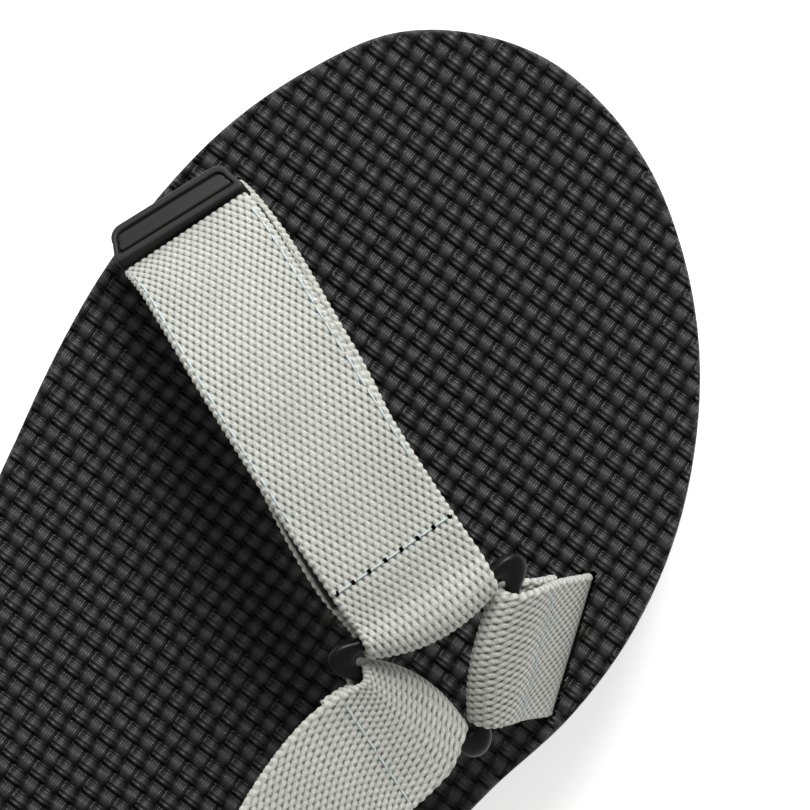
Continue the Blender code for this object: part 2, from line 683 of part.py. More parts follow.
def main():
    clear_scene()
    for ring in (FOREFOOT_RING, LATERAL_RING, MEDIAL_RING):
        ring.build()
    toe_sunk, toe = toe_closure()
    toe.build(before=toe_sunk)
    arch_closure("ankle", Vector((0.0, 1.0, 0.5)), ANKLE_POINTS, Vector((0.0, 0.86, -0.5)))
    heel = arch_closure("heel", Vector((0.0, -1.0, 0.5)), HEEL_POINTS,
                        Vector((0.0, 0.0, 1.0)))
    build_heel_pad(heel)
    build_instep()
    down = Vector((0.0, 0.0, -1.0))
    forefoot = build_anchor(
        "forefoot_anchor_strap", FOREFOOT_RING, Vector((1.0, 0.8, -0.8)),
        [Vector((40.5, 57.5, 34.5)), Vector((43.6, 60.2, 25.5)), Vector((44.0, 60.6, 20.0)),
         Vector((44.0, 60.6, 11.5))], Vector((0.277, -0.961, 0.0)))
    lateral = build_anchor(
        "lateral_anchor_strap", LATERAL_RING, down,
        [Vector((36.0, -52.0, 60.0)), Vector((34.8, -54.0, 45.0)), Vector((32.5, -56.0, 33.0)),
         Vector((32.0, -56.0, 27.0)), Vector((32.0, -56.0, 18.0))], Vector((0.0, -1.0, 0.0)))
    medial = build_anchor(
        "medial_anchor_strap", MEDIAL_RING, down,
        [Vector((-34.0, -47.0, 60.0)), Vector((-33.6, -48.0, 45.0)),
         Vector((-32.0, -49.0, 33.0)), Vector((-31.6, -49.0, 27.0)),
         Vector((-31.6, -49.0, 18.0))], Vector((0.0, 1.0, 0.0)))
    build_sole([(toe_sunk, 29.0), (forefoot, 28.0), (lateral, 38.0), (medial, 38.0)])


main()
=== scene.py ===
"""The looks of a strappy sport sandal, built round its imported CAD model.

Lengths are in millimetres unless a name says otherwise; meshes are scaled to metres as they are
made.
The strap routes, the rings, the tabs' places and the sole's heights are read from the CAD nodes.
"""
import json
import math

import bmesh
import bpy
import numpy as np
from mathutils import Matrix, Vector
from mathutils.bvhtree import BVHTree
from mathutils.kdtree import KDTree


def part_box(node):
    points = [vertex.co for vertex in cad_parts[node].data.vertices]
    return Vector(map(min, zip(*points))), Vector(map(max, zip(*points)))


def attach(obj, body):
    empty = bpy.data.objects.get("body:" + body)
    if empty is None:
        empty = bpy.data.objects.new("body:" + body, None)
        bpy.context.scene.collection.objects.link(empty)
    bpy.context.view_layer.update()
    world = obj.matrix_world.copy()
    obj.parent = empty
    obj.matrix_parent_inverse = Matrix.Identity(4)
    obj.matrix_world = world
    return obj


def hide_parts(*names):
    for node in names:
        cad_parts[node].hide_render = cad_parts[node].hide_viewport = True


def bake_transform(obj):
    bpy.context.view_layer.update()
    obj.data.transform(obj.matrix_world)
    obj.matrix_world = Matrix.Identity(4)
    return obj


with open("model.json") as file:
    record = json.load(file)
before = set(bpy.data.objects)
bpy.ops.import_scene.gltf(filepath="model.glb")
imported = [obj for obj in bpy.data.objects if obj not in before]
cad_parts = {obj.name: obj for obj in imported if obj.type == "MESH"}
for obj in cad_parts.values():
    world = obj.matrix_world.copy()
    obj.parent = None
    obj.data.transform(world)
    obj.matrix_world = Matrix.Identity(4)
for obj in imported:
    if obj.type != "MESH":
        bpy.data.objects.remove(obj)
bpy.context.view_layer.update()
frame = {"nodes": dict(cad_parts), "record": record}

MM = 0.001
ROOT = "sole_and_straps"

# ---- sizes, mm ----------------------------------------------------------------------------
WEBBING_WIDTH = 24.0
WEBBING_THICKNESS = 1.5
WEBBING_HALF = 0.52            # half thickness under the grain
GRAIN_HEIGHT = 0.27
GRAIN_COLUMN = 1.25            # spacing of the grains across the webbing
GRAIN_ROW = 1.17               # spacing of the rows; each row is shifted by half a grain
GRAIN_HALF_WIDTH = 0.53
GRAIN_ROUND_END = 0.78         # from a grain's thickest place to its round end
GRAIN_TIP = 1.15               # and to its pointed end, between the grains of the next row
GRAIN_SLANT = 0.05
STRIP_FACES = 94000            # faces of one strip, which set its mesh size
FINEST_STEP = 0.20
EDGE_ROUND = 0.9               # width of a strip's rounded edge
EDGE_LOOP = 1.35               # spacing of the weft loops along the edge
LOOP_OUT = 0.22                # how far a loop stands out, and how far the gaps stand in
LOOP_IN = 0.12
LOOP_LIFT = 0.45
EDGE_GAP_SHADE = 0.35               # painted shade between the loops
FOLD_BULGE = 2.6               # how far the middle of a fold stands out past its edges
FOLD_REACH = 5.0
TAPE_WIDTH = 22.6
TAPE_HALF = 0.42
CAD_TAPE = (22.0, 0.8)         # width and thickness of the CAD tapes
CAD_PAD = (30.0, 3.0)          # and of the CAD heel pad

WEAVE_PITCH = 2.8              # one strand of the footbed's basket weave
WEAVE_TURN = math.radians(-3.0)
WEAVE_DEPTH = 1.35
CELL_STEPS = 8                 # mesh cells across one strand
RIM_INSET = (0.98, 0.985)      # scale towards the origin that brings the rim onto the CAD top

STITCH_LENGTH = 3.3
THREAD_RADIUS = 0.19
THREAD_ARCH = 0.16             # rise of a stitch's middle over its ends
THREAD_RINGS = 7
THREAD_SIDES = 8
HOLE_RADIUS = 0.46
HOLE_SIDES = 10
HOLE_SHAPE = ((0.6, -0.25), (1.0, 0.0), (0.7, 0.05))   # share of the radius, height


# ---- materials ----------------------------------------------------------------------------
class Shader:
    """A Principled material with short helpers for its nodes."""

    def __init__(self, name, roughness, **inputs):
        self.material = bpy.data.materials.new(name)
        self.material.use_nodes = True
        self.tree = self.material.node_tree
        self.main = self.tree.nodes["Principled BSDF"]
        self.main.inputs["Roughness"].default_value = roughness
        for key, value in inputs.items():
            self.main.inputs[key.replace("_", " ")].default_value = value
        self.coordinates = self.add("ShaderNodeTexCoord").outputs["Object"]

    def add(self, kind, **properties):
        node = self.tree.nodes.new(kind)
        for key, value in properties.items():
            setattr(node, key, value)
        return node

    def link(self, source, target):
        self.tree.links.new(source, target)

    def noise(self, scale, detail=3.0):
        """Noise over the object."""
        node = self.add("ShaderNodeTexNoise")
        node.inputs["Scale"].default_value = scale
        node.inputs["Detail"].default_value = detail
        self.link(self.coordinates, node.inputs["Vector"])
        return node.outputs["Fac"]

    def math(self, operation, first, second=0.0):
        node = self.add("ShaderNodeMath", operation=operation)
        for socket, value in zip(node.inputs, (first, second)):
            if isinstance(value, (int, float)):
                socket.default_value = value
            else:
                self.link(value, socket)
        return node.outputs[0]

    def attribute(self, name):
        return self.add("ShaderNodeAttribute", attribute_name=name).outputs["Fac"]

    def ramp(self, factor, stops):
        node = self.add("ShaderNodeValToRGB")
        node.color_ramp.elements[0].position = stops[0][0]
        node.color_ramp.elements[0].color = stops[0][1]
        node.color_ramp.elements[1].position = stops[-1][0]
        node.color_ramp.elements[1].color = stops[-1][1]
        for position, colour in stops[1:-1]:
            node.color_ramp.elements.new(position).color = colour
        self.link(factor, node.inputs["Fac"])
        return node.outputs["Color"]

    def mix(self, factor, first, second, blend="MIX"):
        node = self.add("ShaderNodeMix", data_type="RGBA", blend_type=blend)
        for socket, value in ((node.inputs[0], factor), (node.inputs[6], first),
                              (node.inputs[7], second)):
            if isinstance(value, (int, float, tuple)):
                socket.default_value = value
            else:
                self.link(value, socket)
        return node.outputs[2]

    def colour(self, source):
        self.link(source, self.main.inputs["Base Color"])

    def roughness(self, source, low, high):
        node = self.add("ShaderNodeMapRange")
        node.inputs["To Min"].default_value = low
        node.inputs["To Max"].default_value = high
        self.link(source, node.inputs["Value"])
        self.link(node.outputs[0], self.main.inputs["Roughness"])

    def bump(self, height, strength, distance_mm):
        node = self.add("ShaderNodeBump")
        node.inputs["Strength"].default_value = strength
        node.inputs["Distance"].default_value = distance_mm * MM
        self.link(height, node.inputs["Height"])
        self.link(node.outputs["Normal"], self.main.inputs["Normal"])


def grey(value, tint=(1.0, 1.0, 1.0)):
    """A grey colour, or a tinted one of that value."""
    return (value * tint[0], value * tint[1], value * tint[2], 1.0)


def webbing_material():
    """Sage grey polyester: painted shade between the grains, fine fibres on them, faint stripes.
    """
    shader = Shader("webbing", 0.82, Sheen_Weight=0.25, Sheen_Roughness=0.5,
                    Specular_IOR_Level=0.3)
    tint = (0.985, 1.0, 0.90)
    # Painted shade: the colour darkens from the grain tops down into the gaps between them.
    grain_shade = shader.ramp(shader.attribute("cavity_shade"),
                        [(0.0, grey(0.10, tint)), (0.30, grey(0.32, tint)),
                         (0.58, grey(0.56, tint)), (1.0, grey(0.74, tint))])
    patches = shader.ramp(shader.noise(90.0, 4.0), [(0.35, grey(0.84)), (0.65, grey(0.93))])
    fibres = shader.noise(4300.0, 4.0)
    flecks = shader.ramp(fibres, [(0.36, grey(0.74)), (0.62, grey(1.08))])
    shaded = shader.mix(1.0, grain_shade, patches, "MULTIPLY")
    shader.colour(shader.mix(1.0, shaded, flecks, "MULTIPLY"))
    shader.roughness(fibres, 0.72, 0.92)
    shader.bump(fibres, 0.8, 0.10)
    return shader.material


def footbed_material():
    """Matt black foam with near-black painted shade in the gaps of its weave; three ridges on the
    strands that lie across, fine lines on the others.
    """
    shader = Shader("footbed_eva", 0.5, Specular_IOR_Level=0.42)
    mapping = shader.add("ShaderNodeMapping")
    mapping.inputs["Rotation"].default_value = (0.0, 0.0, -WEAVE_TURN)
    size = 1.0 / (WEAVE_PITCH * MM)
    mapping.inputs["Scale"].default_value = (size, size, 1.0)
    shader.link(shader.coordinates, mapping.inputs["Vector"])
    split = shader.add("ShaderNodeSeparateXYZ")
    shader.link(mapping.outputs["Vector"], split.inputs[0])
    across, along = split.outputs["X"], split.outputs["Y"]
    parity = shader.math("ADD", shader.math("FLOOR", across), shader.math("FLOOR", along))
    over = shader.math("ABSOLUTE", shader.math("MODULO", parity, 2.0))
    wide = shader.math("COSINE", shader.math("MULTIPLY", along, 3 * 2 * math.pi))
    fine = shader.math("COSINE", shader.math("MULTIPLY", across, 7 * 2 * math.pi))
    ridges = shader.math("MULTIPLY", wide, shader.math("SUBTRACT", over, 1.0))
    lines = shader.math("MULTIPLY", shader.math("MULTIPLY", fine, 0.35), over)
    scratches = shader.noise(2600.0, 4.0)
    relief = shader.math("ADD", shader.math("ADD", ridges, lines),
                         shader.math("MULTIPLY", scratches, 0.9))
    # Painted shade: the colour follows the weave's height, near black in its gaps and lightest on
    # the strand tops.
    tone = shader.ramp(shader.attribute("cavity_shade"),
                       [(0.0, grey(0.0006)), (0.42, grey(0.003)), (0.75, grey(0.024)),
                        (1.0, grey(0.046))])
    wear = shader.ramp(shader.noise(900.0, 6.0), [(0.34, grey(0.62)), (0.68, grey(1.3))])
    shader.colour(shader.mix(1.0, tone, wear, "MULTIPLY"))
    shader.roughness(scratches, 0.30, 0.56)
    shader.bump(relief, 0.85, 0.13)
    return shader.material


def speckled_material(name, noise, stops, roughness, relief=None, relief_noise=None, **inputs):
    """A material whose tone and roughness follow one noise, its fine relief that or another."""
    low, high = roughness
    shader = Shader(name, low, **inputs)
    speckle = shader.noise(*noise)
    shader.colour(shader.ramp(speckle, stops))
    if high > low:
        shader.roughness(speckle, low, high)
    if relief:
        shader.bump(shader.noise(*relief_noise) if relief_noise else speckle, *relief)
    return shader.material


def foam_material():
    """The cut side of the foam: matt black with fine pores."""
    return speckled_material("midsole_eva", (2200.0, 5.0),
                             [(0.35, grey(0.012)), (0.6, grey(0.024))],
                             (0.7, 0.92), (0.5, 0.12), Specular_IOR_Level=0.3)


def rubber_material():
    """Outsole rubber, a little smoother than the foam, scuffed paler in places."""
    return speckled_material("outsole_rubber", (260.0, 6.0),
                             [(0.4, grey(0.010)), (0.75, grey(0.022))],
                             (0.5, 0.78), (0.25, 0.05), (3000.0, 2.0))


def plastic_material():
    """Smooth semi-gloss black with faint moulding ripple."""
    return speckled_material("moulded_plastic", (160.0, 2.0),
                             [(0.3, grey(0.003)), (0.7, grey(0.005))],
                             (0.30, 0.42), (0.06, 0.05), (900.0, 2.0), Specular_IOR_Level=0.22)


def tab_material():
    """Dark grey moulded rubber with a fine sandy texture; painted shade darkens its groove and the
    wall that faces the strap.
    """
    shader = Shader("moulded_rubber", 0.6, Specular_IOR_Level=0.4)
    sand = shader.noise(4200.0, 2.0)
    # Painted shade: dark in the groove and on the strap-side wall, lighter on the rim and panel.
    tone = shader.ramp(shader.attribute("cavity_shade"), [(0.0, grey(0.002)), (1.0, grey(0.021))])
    speckle = shader.ramp(sand, [(0.3, grey(0.85)), (0.7, grey(1.1))])
    shader.colour(shader.mix(1.0, tone, speckle, "MULTIPLY"))
    shader.roughness(sand, 0.5, 0.72)
    shader.bump(sand, 0.35, 0.06)
    return shader.material


def tape_material():
    """Black hook-and-loop tape: almost no shine."""
    return speckled_material("tape", (3800.0, 4.0), [(0.3, grey(0.003)), (0.7, grey(0.020))],
                             (0.95, 0.95), (0.9, 0.25), Sheen_Weight=0.3)


def knit_material():
    """Soft knit over the heel pad's foam."""
    shader = Shader("neoprene", 0.9, Sheen_Weight=0.4)
    wales = shader.math("SINE", shader.attribute("wale"))
    fuzz = shader.noise(3000.0, 3.0)
    shader.colour(shader.ramp(fuzz, [(0.3, grey(0.012)), (0.7, grey(0.026))]))
    shader.bump(shader.math("ADD", wales, fuzz), 0.5, 0.12)
    return shader.material


def thread_material():
    """Pale blue-white sewing thread with its twist."""
    return speckled_material("thread", (2600.0, 1.0),
                             [(0.3, (0.42, 0.49, 0.51, 1.0)), (0.7, (0.58, 0.66, 0.68, 1.0))],
                             (0.5, 0.5), (0.4, 0.05), Specular_IOR_Level=0.5)


def hole_material():
    """The needle holes, painted near black as the shade inside them."""
    return speckled_material("needle_hole", (3000.0, 3.0),
                             [(0.3, grey(0.002)), (0.7, grey(0.006))], (1.0, 1.0),
                             Specular_IOR_Level=0.1)


def floor_material():
    """Plain white lit studio floor."""
    shader = Shader("studio_floor", 0.9, Specular_IOR_Level=0.1,
                    Emission_Color=(1.0, 1.0, 1.0, 1.0), Emission_Strength=0.6)
    shader.colour(shader.ramp(shader.noise(2.0), [(0.0, grey(0.90)), (1.0, grey(0.92))]))
    return shader.material


WEBBING = webbing_material()
FOOTBED = footbed_material()
FOAM = foam_material()
RUBBER = rubber_material()
PLASTIC = plastic_material()
TAB = tab_material()
TAPE = tape_material()
KNIT = knit_material()
THREAD = thread_material()
HOLE = hole_material()


# ---- mesh helpers -------------------------------------------------------------------------
def make_piece(name, points, quads, material, caps=(), attributes=None):
    """A smooth-shaded object from points in millimetres, quads, and larger end faces."""
    mesh = bpy.data.meshes.new(name)
    faces = [tuple(face) for face in np.asarray(quads).tolist()] + [tuple(cap) for cap in caps]
    mesh.from_pydata((np.asarray(points) * MM).tolist(), [], faces)
    for key, values in (attributes or {}).items():
        layer = mesh.attributes.new(key, "FLOAT", "POINT")
        layer.data.foreach_set("value", np.asarray(values, np.float32).ravel())
    mesh.materials.append(material)
    mesh.shade_smooth()
    mesh.update()
    obj = bpy.data.objects.new(name, mesh)
    bpy.context.scene.collection.objects.link(obj)
    return obj


def finish_piece(piece, body, slot, *nodes):
    """Attach the piece to what it rides on and hide the CAD parts it replaces; the slot is not
    used.
    """
    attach(piece, body)
    if nodes:
        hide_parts(*nodes)
    return piece


def tube_quads(rings, ring_size, first=0):
    """Quads between consecutive rings of equal size."""
    i, j = np.meshgrid(np.arange(rings - 1), np.arange(ring_size), indexing="ij")
    k = (j + 1) % ring_size
    base = first + i * ring_size
    return np.stack([base + j, base + ring_size + j, base + ring_size + k, base + k],
                    -1).reshape(-1, 4)


def end_caps(rings, size, first=0):
    """The first ring turned round and the last ring, as the end faces of a tube."""
    last = first + (rings - 1) * size
    return [list(range(first, first + size))[::-1], list(range(last, last + size))]


def ellipse(centre, first, second, sides):
    """Points round an ellipse with the given half axes."""
    angles = 2 * math.pi * np.arange(sides)[:, None] / sides
    return list(centre + first * np.cos(angles) + second * np.sin(angles))


def cad_mesh(node):
    """A CAD node as a bmesh, in metres, with doubled corners merged."""
    data = bmesh.new()
    data.from_mesh(frame["nodes"][node].data)
    bmesh.ops.remove_doubles(data, verts=data.verts, dist=1e-6)
    data.verts.ensure_lookup_table()
    return data


def cad_cloud(node):
    """The corners of a CAD node, in millimetres."""
    data = cad_mesh(node)
    cloud = np.array([vertex.co for vertex in data.verts]) / MM
    data.free()
    return cloud


def unit(vectors):
    return vectors / np.linalg.norm(vectors, axis=-1, keepdims=True)


def eased(share):
    """Smooth step from 0 to 1."""
    share = np.clip(share, 0.0, 1.0)
    return share * share * (3 - 2 * share)


def hermite(points, tangents, index, t, span):
    """A cubic from points[index] to the point after it, at share t of the way."""
    return ((2 * t ** 3 - 3 * t ** 2 + 1) * points[index]
            + (t ** 3 - 2 * t ** 2 + t) * span * tangents[index]
            + (3 * t ** 2 - 2 * t ** 3) * points[index + 1]
            + (t ** 3 - t ** 2) * span * tangents[index + 1])


# ---- strap routes, read from the CAD ribbons -----------------------------------------------
class Route:
    """Middles, width directions and normals along a strap, and the distance along it."""

    def __init__(self, middles, acrosses, normals):
        self.middles = np.asarray(middles, float)
        self.acrosses = np.asarray(acrosses, float)
        self.normals = np.asarray(normals, float)
        gaps = np.linalg.norm(np.diff(self.middles, axis=0), axis=1)
        self.lengths = np.concatenate([[0.0], np.cumsum(gaps)])
        self.total = self.lengths[-1]

    def turned_over(self):
        """The same walk with the other face outside."""
        return Route(self.middles, -self.acrosses, -self.normals)

    def joined(self, other):
        return Route(np.vstack([self.middles, other.middles]),
                     np.vstack([self.acrosses, other.acrosses]),
                     np.vstack([self.normals, other.normals]))

    def at(self, places):
        """Smooth middles, width directions and normals at distances along the strap."""
        places = np.clip(np.asarray(places, float), 0.0, self.total)
        tangents = np.gradient(self.middles, self.lengths, axis=0)
        index = np.clip(np.searchsorted(self.lengths, places) - 1, 0, len(self.lengths) - 2)
        span = self.lengths[index + 1] - self.lengths[index]
        t = ((places - self.lengths[index]) / span)[:, None]
        span = span[:, None]
        middles = hermite(self.middles, tangents, index, t, span)
        acrosses = unit(self.acrosses[index] * (1 - t) + self.acrosses[index + 1] * t)
        normals = unit(self.normals[index] * (1 - t) + self.normals[index + 1] * t)
        return middles, acrosses, normals

    def part(self, start, end, step=1.5):
        """The stretch between two distances along the strap."""
        places = np.linspace(start, end, max(int((end - start) / step), 2) + 1)
        return Route(*self.at(places))

    def end_turned(self, angle, reach):
        """The strap with its last stretch turning in its own plane, most at the end."""
        turn = (angle * eased(1 - (self.total - self.lengths) / reach))[:, None]
        forward = np.cross(self.normals, self.acrosses)
        acrosses = self.acrosses * np.cos(turn) + forward * np.sin(turn)
        return Route(self.middles, acrosses, self.normals)

    def slid(self, places, pushes):
        """The strap pushed towards the toe end, by the given amounts at shares of its length."""
        share = self.lengths / self.total
        push = np.zeros(len(share))
        for k in range(len(places) - 1):
            mine = (share >= places[k]) & (share <= places[k + 1])
            step = eased((share[mine] - places[k]) / (places[k + 1] - places[k]))
            push[mine] = pushes[k] + (pushes[k + 1] - pushes[k]) * step
        towards_toe = np.sign(self.acrosses[:, 1:2])
        middles = self.middles + self.acrosses * towards_toe * push[:, None]
        return Route(middles, self.acrosses, self.normals)


def ribbon_sections(data, width, thickness):
    """Corner quadruples of a CAD ribbon's cross-sections, found by their exact sizes."""
    tolerance = 3e-6
    beside = {vertex: [] for vertex in data.verts}
    wide = []
    for edge in data.edges:
        length = edge.calc_length()
        if abs(length - thickness) < tolerance:
            beside[edge.verts[0]].append(edge.verts[1])
            beside[edge.verts[1]].append(edge.verts[0])
        if abs(length - width) < tolerance:
            wide.append(edge)
    partner = {}
    for edge in wide:
        partner.setdefault(edge.verts[0], set()).add(edge.verts[1])
        partner.setdefault(edge.verts[1], set()).add(edge.verts[0])
    sections = []
    used = set()
    for edge in wide:
        a, b = edge.verts
        if a in used or b in used:
            continue
        for c in beside[a]:
            for d in beside[b]:
                square = abs((c.co - a.co).dot(b.co - a.co)) < 0.3 * width * thickness
                if d in partner.get(c, ()) and square and c not in used:
                    sections.append((a, b, c, d))
                    used.update((a, b, c, d))
                    break
            if a in used:
                break
    return sections


def cad_route(node, start_near, facing, width=WEBBING_WIDTH, thickness=WEBBING_THICKNESS):
    """The route of a CAD ribbon from the end nearest a point; facing is outward there."""
    data = cad_mesh(node)
    sections = ribbon_sections(data, width * MM, thickness * MM)
    owner = {vertex: i for i, section in enumerate(sections) for vertex in section}
    linked = {i: set() for i in range(len(sections))}
    for edge in data.edges:
        first, second = owner.get(edge.verts[0]), owner.get(edge.verts[1])
        if first is not None and second is not None and first != second:
            linked[first].add(second)
            linked[second].add(first)
    middle = [sum((v.co for v in section), Vector()) / 4 for section in sections]
    ends = [i for i, near in linked.items() if len(near) == 1]
    target = Vector(start_near) * MM
    current = min(ends, key=lambda i: (middle[i] - target).length)
    order = [current]
    while True:
        after = [i for i in linked[current] if i not in order]
        if not after:
            break
        current = min(after, key=lambda i: (middle[i] - middle[order[-1]]).length)
        order.append(current)
    along = middle[order[1]] - middle[order[0]]
    normal = Vector(facing)
    across = None
    middles, acrosses, normals = [], [], []
    for i in order:
        a, b, c, _ = (vertex.co.copy() for vertex in sections[i])
        new_across, new_normal = (b - a).normalized(), (c - a).normalized()
        new_normal = new_normal if new_normal.dot(normal) > 0 else -new_normal
        if across is None:
            across = new_across if along.cross(new_across).dot(new_normal) > 0 else -new_across
        new_across = new_across if new_across.dot(across) > 0 else -new_across
        across, normal = new_across, new_normal
        middles.append(middle[i] / MM)
        acrosses.append(across.copy())
        normals.append(normal.copy())
    data.free()
    return Route(middles, evened(acrosses), evened(normals))


def evened(directions):
    """Directions averaged with their neighbours, so that twists have no kinks."""
    directions = np.asarray(directions, float)
    for _ in range(2):
        inner = directions[:-2] + 2 * directions[1:-1] + directions[2:]
        directions = np.vstack([directions[:1], unit(inner), directions[-1:]])
    return directions


# ---- webbing ------------------------------------------------------------------------------
def grain_relief(along, across):
    """Height of the webbing's staggered grains, and from it a tone for the painted shade between
    them.
    """
    height = np.zeros_like(along)
    row = np.round(along / GRAIN_ROW)
    for offset in (-1, 0, 1):
        near_row = row + offset
        shift = 0.5 * GRAIN_COLUMN * np.mod(near_row, 2)
        ds = along - near_row * GRAIN_ROW
        slanted = across - shift - GRAIN_SLANT * ds
        du = slanted - np.round(slanted / GRAIN_COLUMN) * GRAIN_COLUMN
        tip = np.clip(ds / GRAIN_TIP, 0.0, 1.0)
        run = np.where(ds < 0, ds / GRAIN_ROUND_END, tip)
        width = GRAIN_HALF_WIDTH * (1.0 - 0.5 * tip)
        body = 1.0 - run ** 2 - (du / width) ** 2
        body = np.where(np.abs(run) < 1.0, body, 0.0)
        height = np.maximum(height, np.sqrt(np.clip(body, 0.0, 1.0)) * (1.0 - 0.2 * tip))
    return height * GRAIN_HEIGHT, height


def fuzz_relief(along, across):
    """Uneven loops of hook-and-loop tape."""
    wave = (np.sin(along * 5.1 + 1.7 * np.sin(across * 3.3))
            * np.sin(across * 5.7 + 1.3 * np.sin(along * 2.9)))
    return 0.10 * wave, 0.5 + 0.5 * wave


def strip(name, route, width, half, relief, material, selvedge=1.0, fold=None):
    """A woven strip along a route: two faces with relief that meet in rounded edges.

    The fold is the place along the route where the strip turns round a ring bar; the middle
    of its width bulges outwards there.
    """
    step = max(math.sqrt(2 * route.total * width / STRIP_FACES), FINEST_STEP)
    rows = max(int(route.total / step), 3)
    along = np.linspace(0.0, route.total, rows + 1)
    middles, acrosses, normals = route.at(along)
    columns = int(width / step)
    across = np.linspace(-width / 2, width / 2, columns + 1)
    across = np.concatenate([across, across[-2:0:-1]])
    side = np.ones_like(across)
    side[columns + 1:] = -1.0
    edge = np.clip((np.abs(across) - (width / 2 - EDGE_ROUND)) / EDGE_ROUND, 0.0, 1.0)
    body = half * np.sqrt(1.0 - edge ** 2)
    s, u = np.meshgrid(along, across, indexing="ij")
    # Painted shade: the tone follows the grain height and is darkest between the grains.
    height, tone = relief(s + 0.5 * GRAIN_ROW * (side < 0), u)
    lift = side * (body + height * np.sqrt(1.0 - edge ** 2))
    loops = selvedge * (0.5 + 0.5 * np.cos(2 * math.pi * s / EDGE_LOOP + side))
    near_edge = edge ** 0.5
    u = u + np.sign(u) * near_edge * (LOOP_OUT * loops - LOOP_IN)
    lift = lift + side * near_edge * (1 - edge) * LOOP_LIFT * loops
    # Painted shade: darker between the weft loops along the edges.
    tone = tone * (1 - near_edge) + near_edge * (EDGE_GAP_SHADE + (1 - EDGE_GAP_SHADE) * loops)
    points = (middles[:, None, :] + acrosses[:, None, :] * u[..., None]
              + normals[:, None, :] * lift[..., None])
    if fold is not None:
        outward = route.at([fold])[2][0]
        near_fold = np.exp(-((s - fold) / FOLD_REACH) ** 2) * (1 - (2 * across / width) ** 2)
        points = points + FOLD_BULGE * near_fold[..., None] * outward
    size = len(across)
    caps = [cap[::-1] for cap in end_caps(rows + 1, size)]
    return make_piece(name, points.reshape(-1, 3), tube_quads(rows + 1, size), material, caps,
                      {"cavity_shade": tone})


def webbing(name, route, body, *nodes, fold=None):
    """A length of the webbing along a route."""
    piece = strip(name, route, WEBBING_WIDTH, WEBBING_HALF, grain_relief, WEBBING, fold=fold)
    return finish_piece(piece, body, "webbing", *nodes)


def tape(name, node, body, start_near, facing, slide=None):
    """The hook or loop tape over its CAD node, which may be slid sideways."""
    route = cad_route(node, start_near, facing, *CAD_TAPE)
    if slide:
        route = route.slid(*slide)
    piece = strip(name, route, TAPE_WIDTH, TAPE_HALF, fuzz_relief, TAPE, selvedge=0.4)
    return finish_piece(piece, body, "tape", node)


def stitch_row(name, route, body, start, end, holes=False, fold_line=None):
    """Thread and needle holes between two places (along, across) on a strap's outer face.

    With a fold line, the thread and holes are baked where they stand instead of being attached to
    the body.
    """
    def fasten(piece):
        if fold_line is None:
            finish_piece(piece, body, "webbing")
        else:
            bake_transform(piece)

    start, end = np.asarray(start, float), np.asarray(end, float)
    count = max(int(round(np.linalg.norm(end - start) / STITCH_LENGTH)), 1)
    lift = WEBBING_HALF + GRAIN_HEIGHT * 0.80
    thread_points, thread_quads, thread_caps = [], [], []
    for i in range(count):
        shares = (i + np.linspace(0.10, 0.90, THREAD_RINGS)) / count
        places = start + (end - start) * shares[:, None]
        middles, acrosses, normals = route.at(places[:, 0])
        arch = lift + THREAD_ARCH * np.sin(np.linspace(0, math.pi, THREAD_RINGS)) - 0.05
        line = middles + acrosses * places[:, 1:2] + normals * arch[:, None]
        forward = unit(np.gradient(line, axis=0))
        sideways = unit(np.cross(forward, normals))
        first = len(thread_points)
        for k in range(THREAD_RINGS):
            radius = THREAD_RADIUS * (0.75 if k in (0, THREAD_RINGS - 1) else 1.0)
            thread_points += ellipse(line[k], sideways[k] * radius, normals[k] * radius,
                                     THREAD_SIDES)
        thread_quads.append(tube_quads(THREAD_RINGS, THREAD_SIDES, first))
        thread_caps += end_caps(THREAD_RINGS, THREAD_SIDES, first)
    thread = make_piece(name + "_thread", thread_points, np.concatenate(thread_quads), THREAD,
                        thread_caps)
    fasten(thread)
    if not holes:
        return
    frames = []
    for i in range(count + 1):
        place = start + (end - start) * i / count
        middle, across, normal = (values[0] for values in route.at([place[0]]))
        frames.append((middle + across * place[1] + normal * (lift + 0.02), across, normal))
    fasten(hole_caps(name + "_holes", frames))


def hole_caps(name, holes):
    """Small sunken lens shapes at the needle holes."""
    points, quads, caps = [], [], []
    for centre, across, normal in holes:
        quads.append(tube_quads(len(HOLE_SHAPE), HOLE_SIDES, len(points)))
        caps += end_caps(len(HOLE_SHAPE), HOLE_SIDES, len(points))
        for share, height in HOLE_SHAPE:
            radius = HOLE_RADIUS * share
            points += ellipse(centre + normal * height, across * radius,
                              np.cross(normal, across) * radius, HOLE_SIDES)
    return make_piece(name, points, np.concatenate(quads), HOLE, caps)


# ---- moulded tab --------------------------------------------------------------------------
TAB_LENGTH = 6.7
TAB_HALF_WIDTH = 12.1
TAB_TAPER = 1.1
TAB_TOP = 2.6                   # over the middle of the webbing
TAB_SLOPE = 0.8                 # run of the slanted wall that faces the strap
TAB_BOTTOM = -1.3
TAB_CORNERS = (0.8, 2.4)        # radius at the strap's side and at the outer end
# Inset, height and painted-shade tone (low in the groove), from the underside over the rim and
# groove to the panel.
TAB_STEPS = [
    (0.9, TAB_BOTTOM, 1.0), (0.25, TAB_BOTTOM + 0.12, 1.0), (0.0, TAB_BOTTOM + 0.5, 1.0),
    (0.0, TAB_TOP - 0.45, 1.0), (0.08, TAB_TOP - 0.2, 1.0), (0.3, TAB_TOP - 0.03, 1.0),
    (0.55, TAB_TOP, 1.0), (0.95, TAB_TOP, 1.0), (1.12, TAB_TOP - 0.08, 0.8),
    (1.22, TAB_TOP - 0.5, 0.1), (1.30, TAB_TOP - 0.7, 0.0), (1.50, TAB_TOP - 0.7, 0.0),
    (1.58, TAB_TOP - 0.5, 0.1), (1.70, TAB_TOP - 0.22, 0.9), (1.95, TAB_TOP - 0.15, 1.0)]


